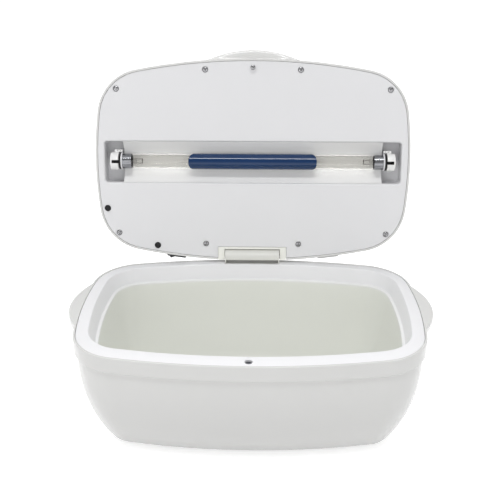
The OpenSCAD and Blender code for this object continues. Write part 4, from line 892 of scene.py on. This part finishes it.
def studio_world():
    """Grey surroundings, lighter behind, that turn as white as the floor towards the horizon."""
    world = bpy.data.worlds.new("studio")
    bpy.context.scene.world = world
    world.use_nodes = True
    nodes, links = world.node_tree.nodes, world.node_tree.links
    nodes.clear()
    out = add_node(nodes, "OutputWorld")
    soft = add_node(nodes, "Background", Strength=1.0)
    place = add_node(nodes, "TexCoord")
    split = add_node(nodes, "SeparateXYZ")
    depth = add_node(nodes, "MapRange", From_Min=-1.0, From_Max=1.0)
    ramp = two_tone(nodes, (0.1, (0.42, 0.42, 0.42)), (0.6, (0.58, 0.58, 0.58)))
    horizon = add_node(nodes, "MapRange", From_Min=0.24, From_Max=0.06)
    both = add_node(nodes, "Mix")
    both.data_type = "RGBA"
    both.inputs["B"].default_value = (1, 1, 1, 1)
    links.new(place.outputs["Generated"], split.inputs["Vector"])
    links.new(split.outputs["Y"], depth.inputs["Value"])
    links.new(depth.outputs["Result"], ramp.inputs["Fac"])
    links.new(split.outputs["Z"], horizon.inputs["Value"])
    links.new(horizon.outputs["Result"], both.inputs["Factor"])
    links.new(ramp.outputs["Color"], both.inputs["A"])
    links.new(both.outputs["Result"], soft.inputs["Color"])
    links.new(soft.outputs[0], out.inputs["Surface"])


# The camera that the photograph was solved for
SENSOR, FOCAL_PIXELS, PHOTO_PIXELS, CLIP_END = 36.0, 825.34, 500.0, 100
CAMERA_X, CAMERA_Y, CAMERA_OVER_RIM = 0.01235, -0.72596, 0.40257
CAMERA_DOWN, CAMERA_LEFT = 25.06, 1.016


def studio_camera():
    data = bpy.data.cameras.new("camera")
    data.sensor_fit = "HORIZONTAL"
    data.sensor_width = SENSOR
    data.lens = SENSOR * FOCAL_PIXELS / PHOTO_PIXELS
    data.clip_end = CLIP_END
    camera = linked("camera", data)
    camera.location = (CAMERA_X, CAMERA_Y, RIM * MM + CAMERA_OVER_RIM)
    camera.rotation_euler = (math.radians(90 - CAMERA_DOWN), 0.0, math.radians(CAMERA_LEFT))
    bpy.context.scene.camera = camera


studio_floor()
area("behind", (0.0, 1.15, 1.75), (0, 0.05, 0.1), 2.0, 0.9, 14)
area("overhead", (0.0, -0.35, 1.8), (0, 0.05, 0.1), 1.8, 1.0, 3.5)
area("front_left", (-1.0, -1.8, 0.75), (0, 0.05, 0.18), 1.1, 1.1, 6.5)
area("front_right", (1.1, -1.8, 0.7), (0, 0.05, 0.18), 1.0, 1.1, 4)
area("left", (-1.9, 0.1, 0.9), (0, 0.05, 0.15), 1.2, 1.2, 2.5)
area("right", (1.9, 0.1, 0.9), (0, 0.05, 0.15), 1.2, 1.2, 1.0)
area("bar", (0.0, -0.75, 1.95), (0, 0.13, 0.23), 0.8, 0.16, 8.5)
studio_world()
studio_camera()
bpy.context.scene.view_settings.view_transform = "Standard"
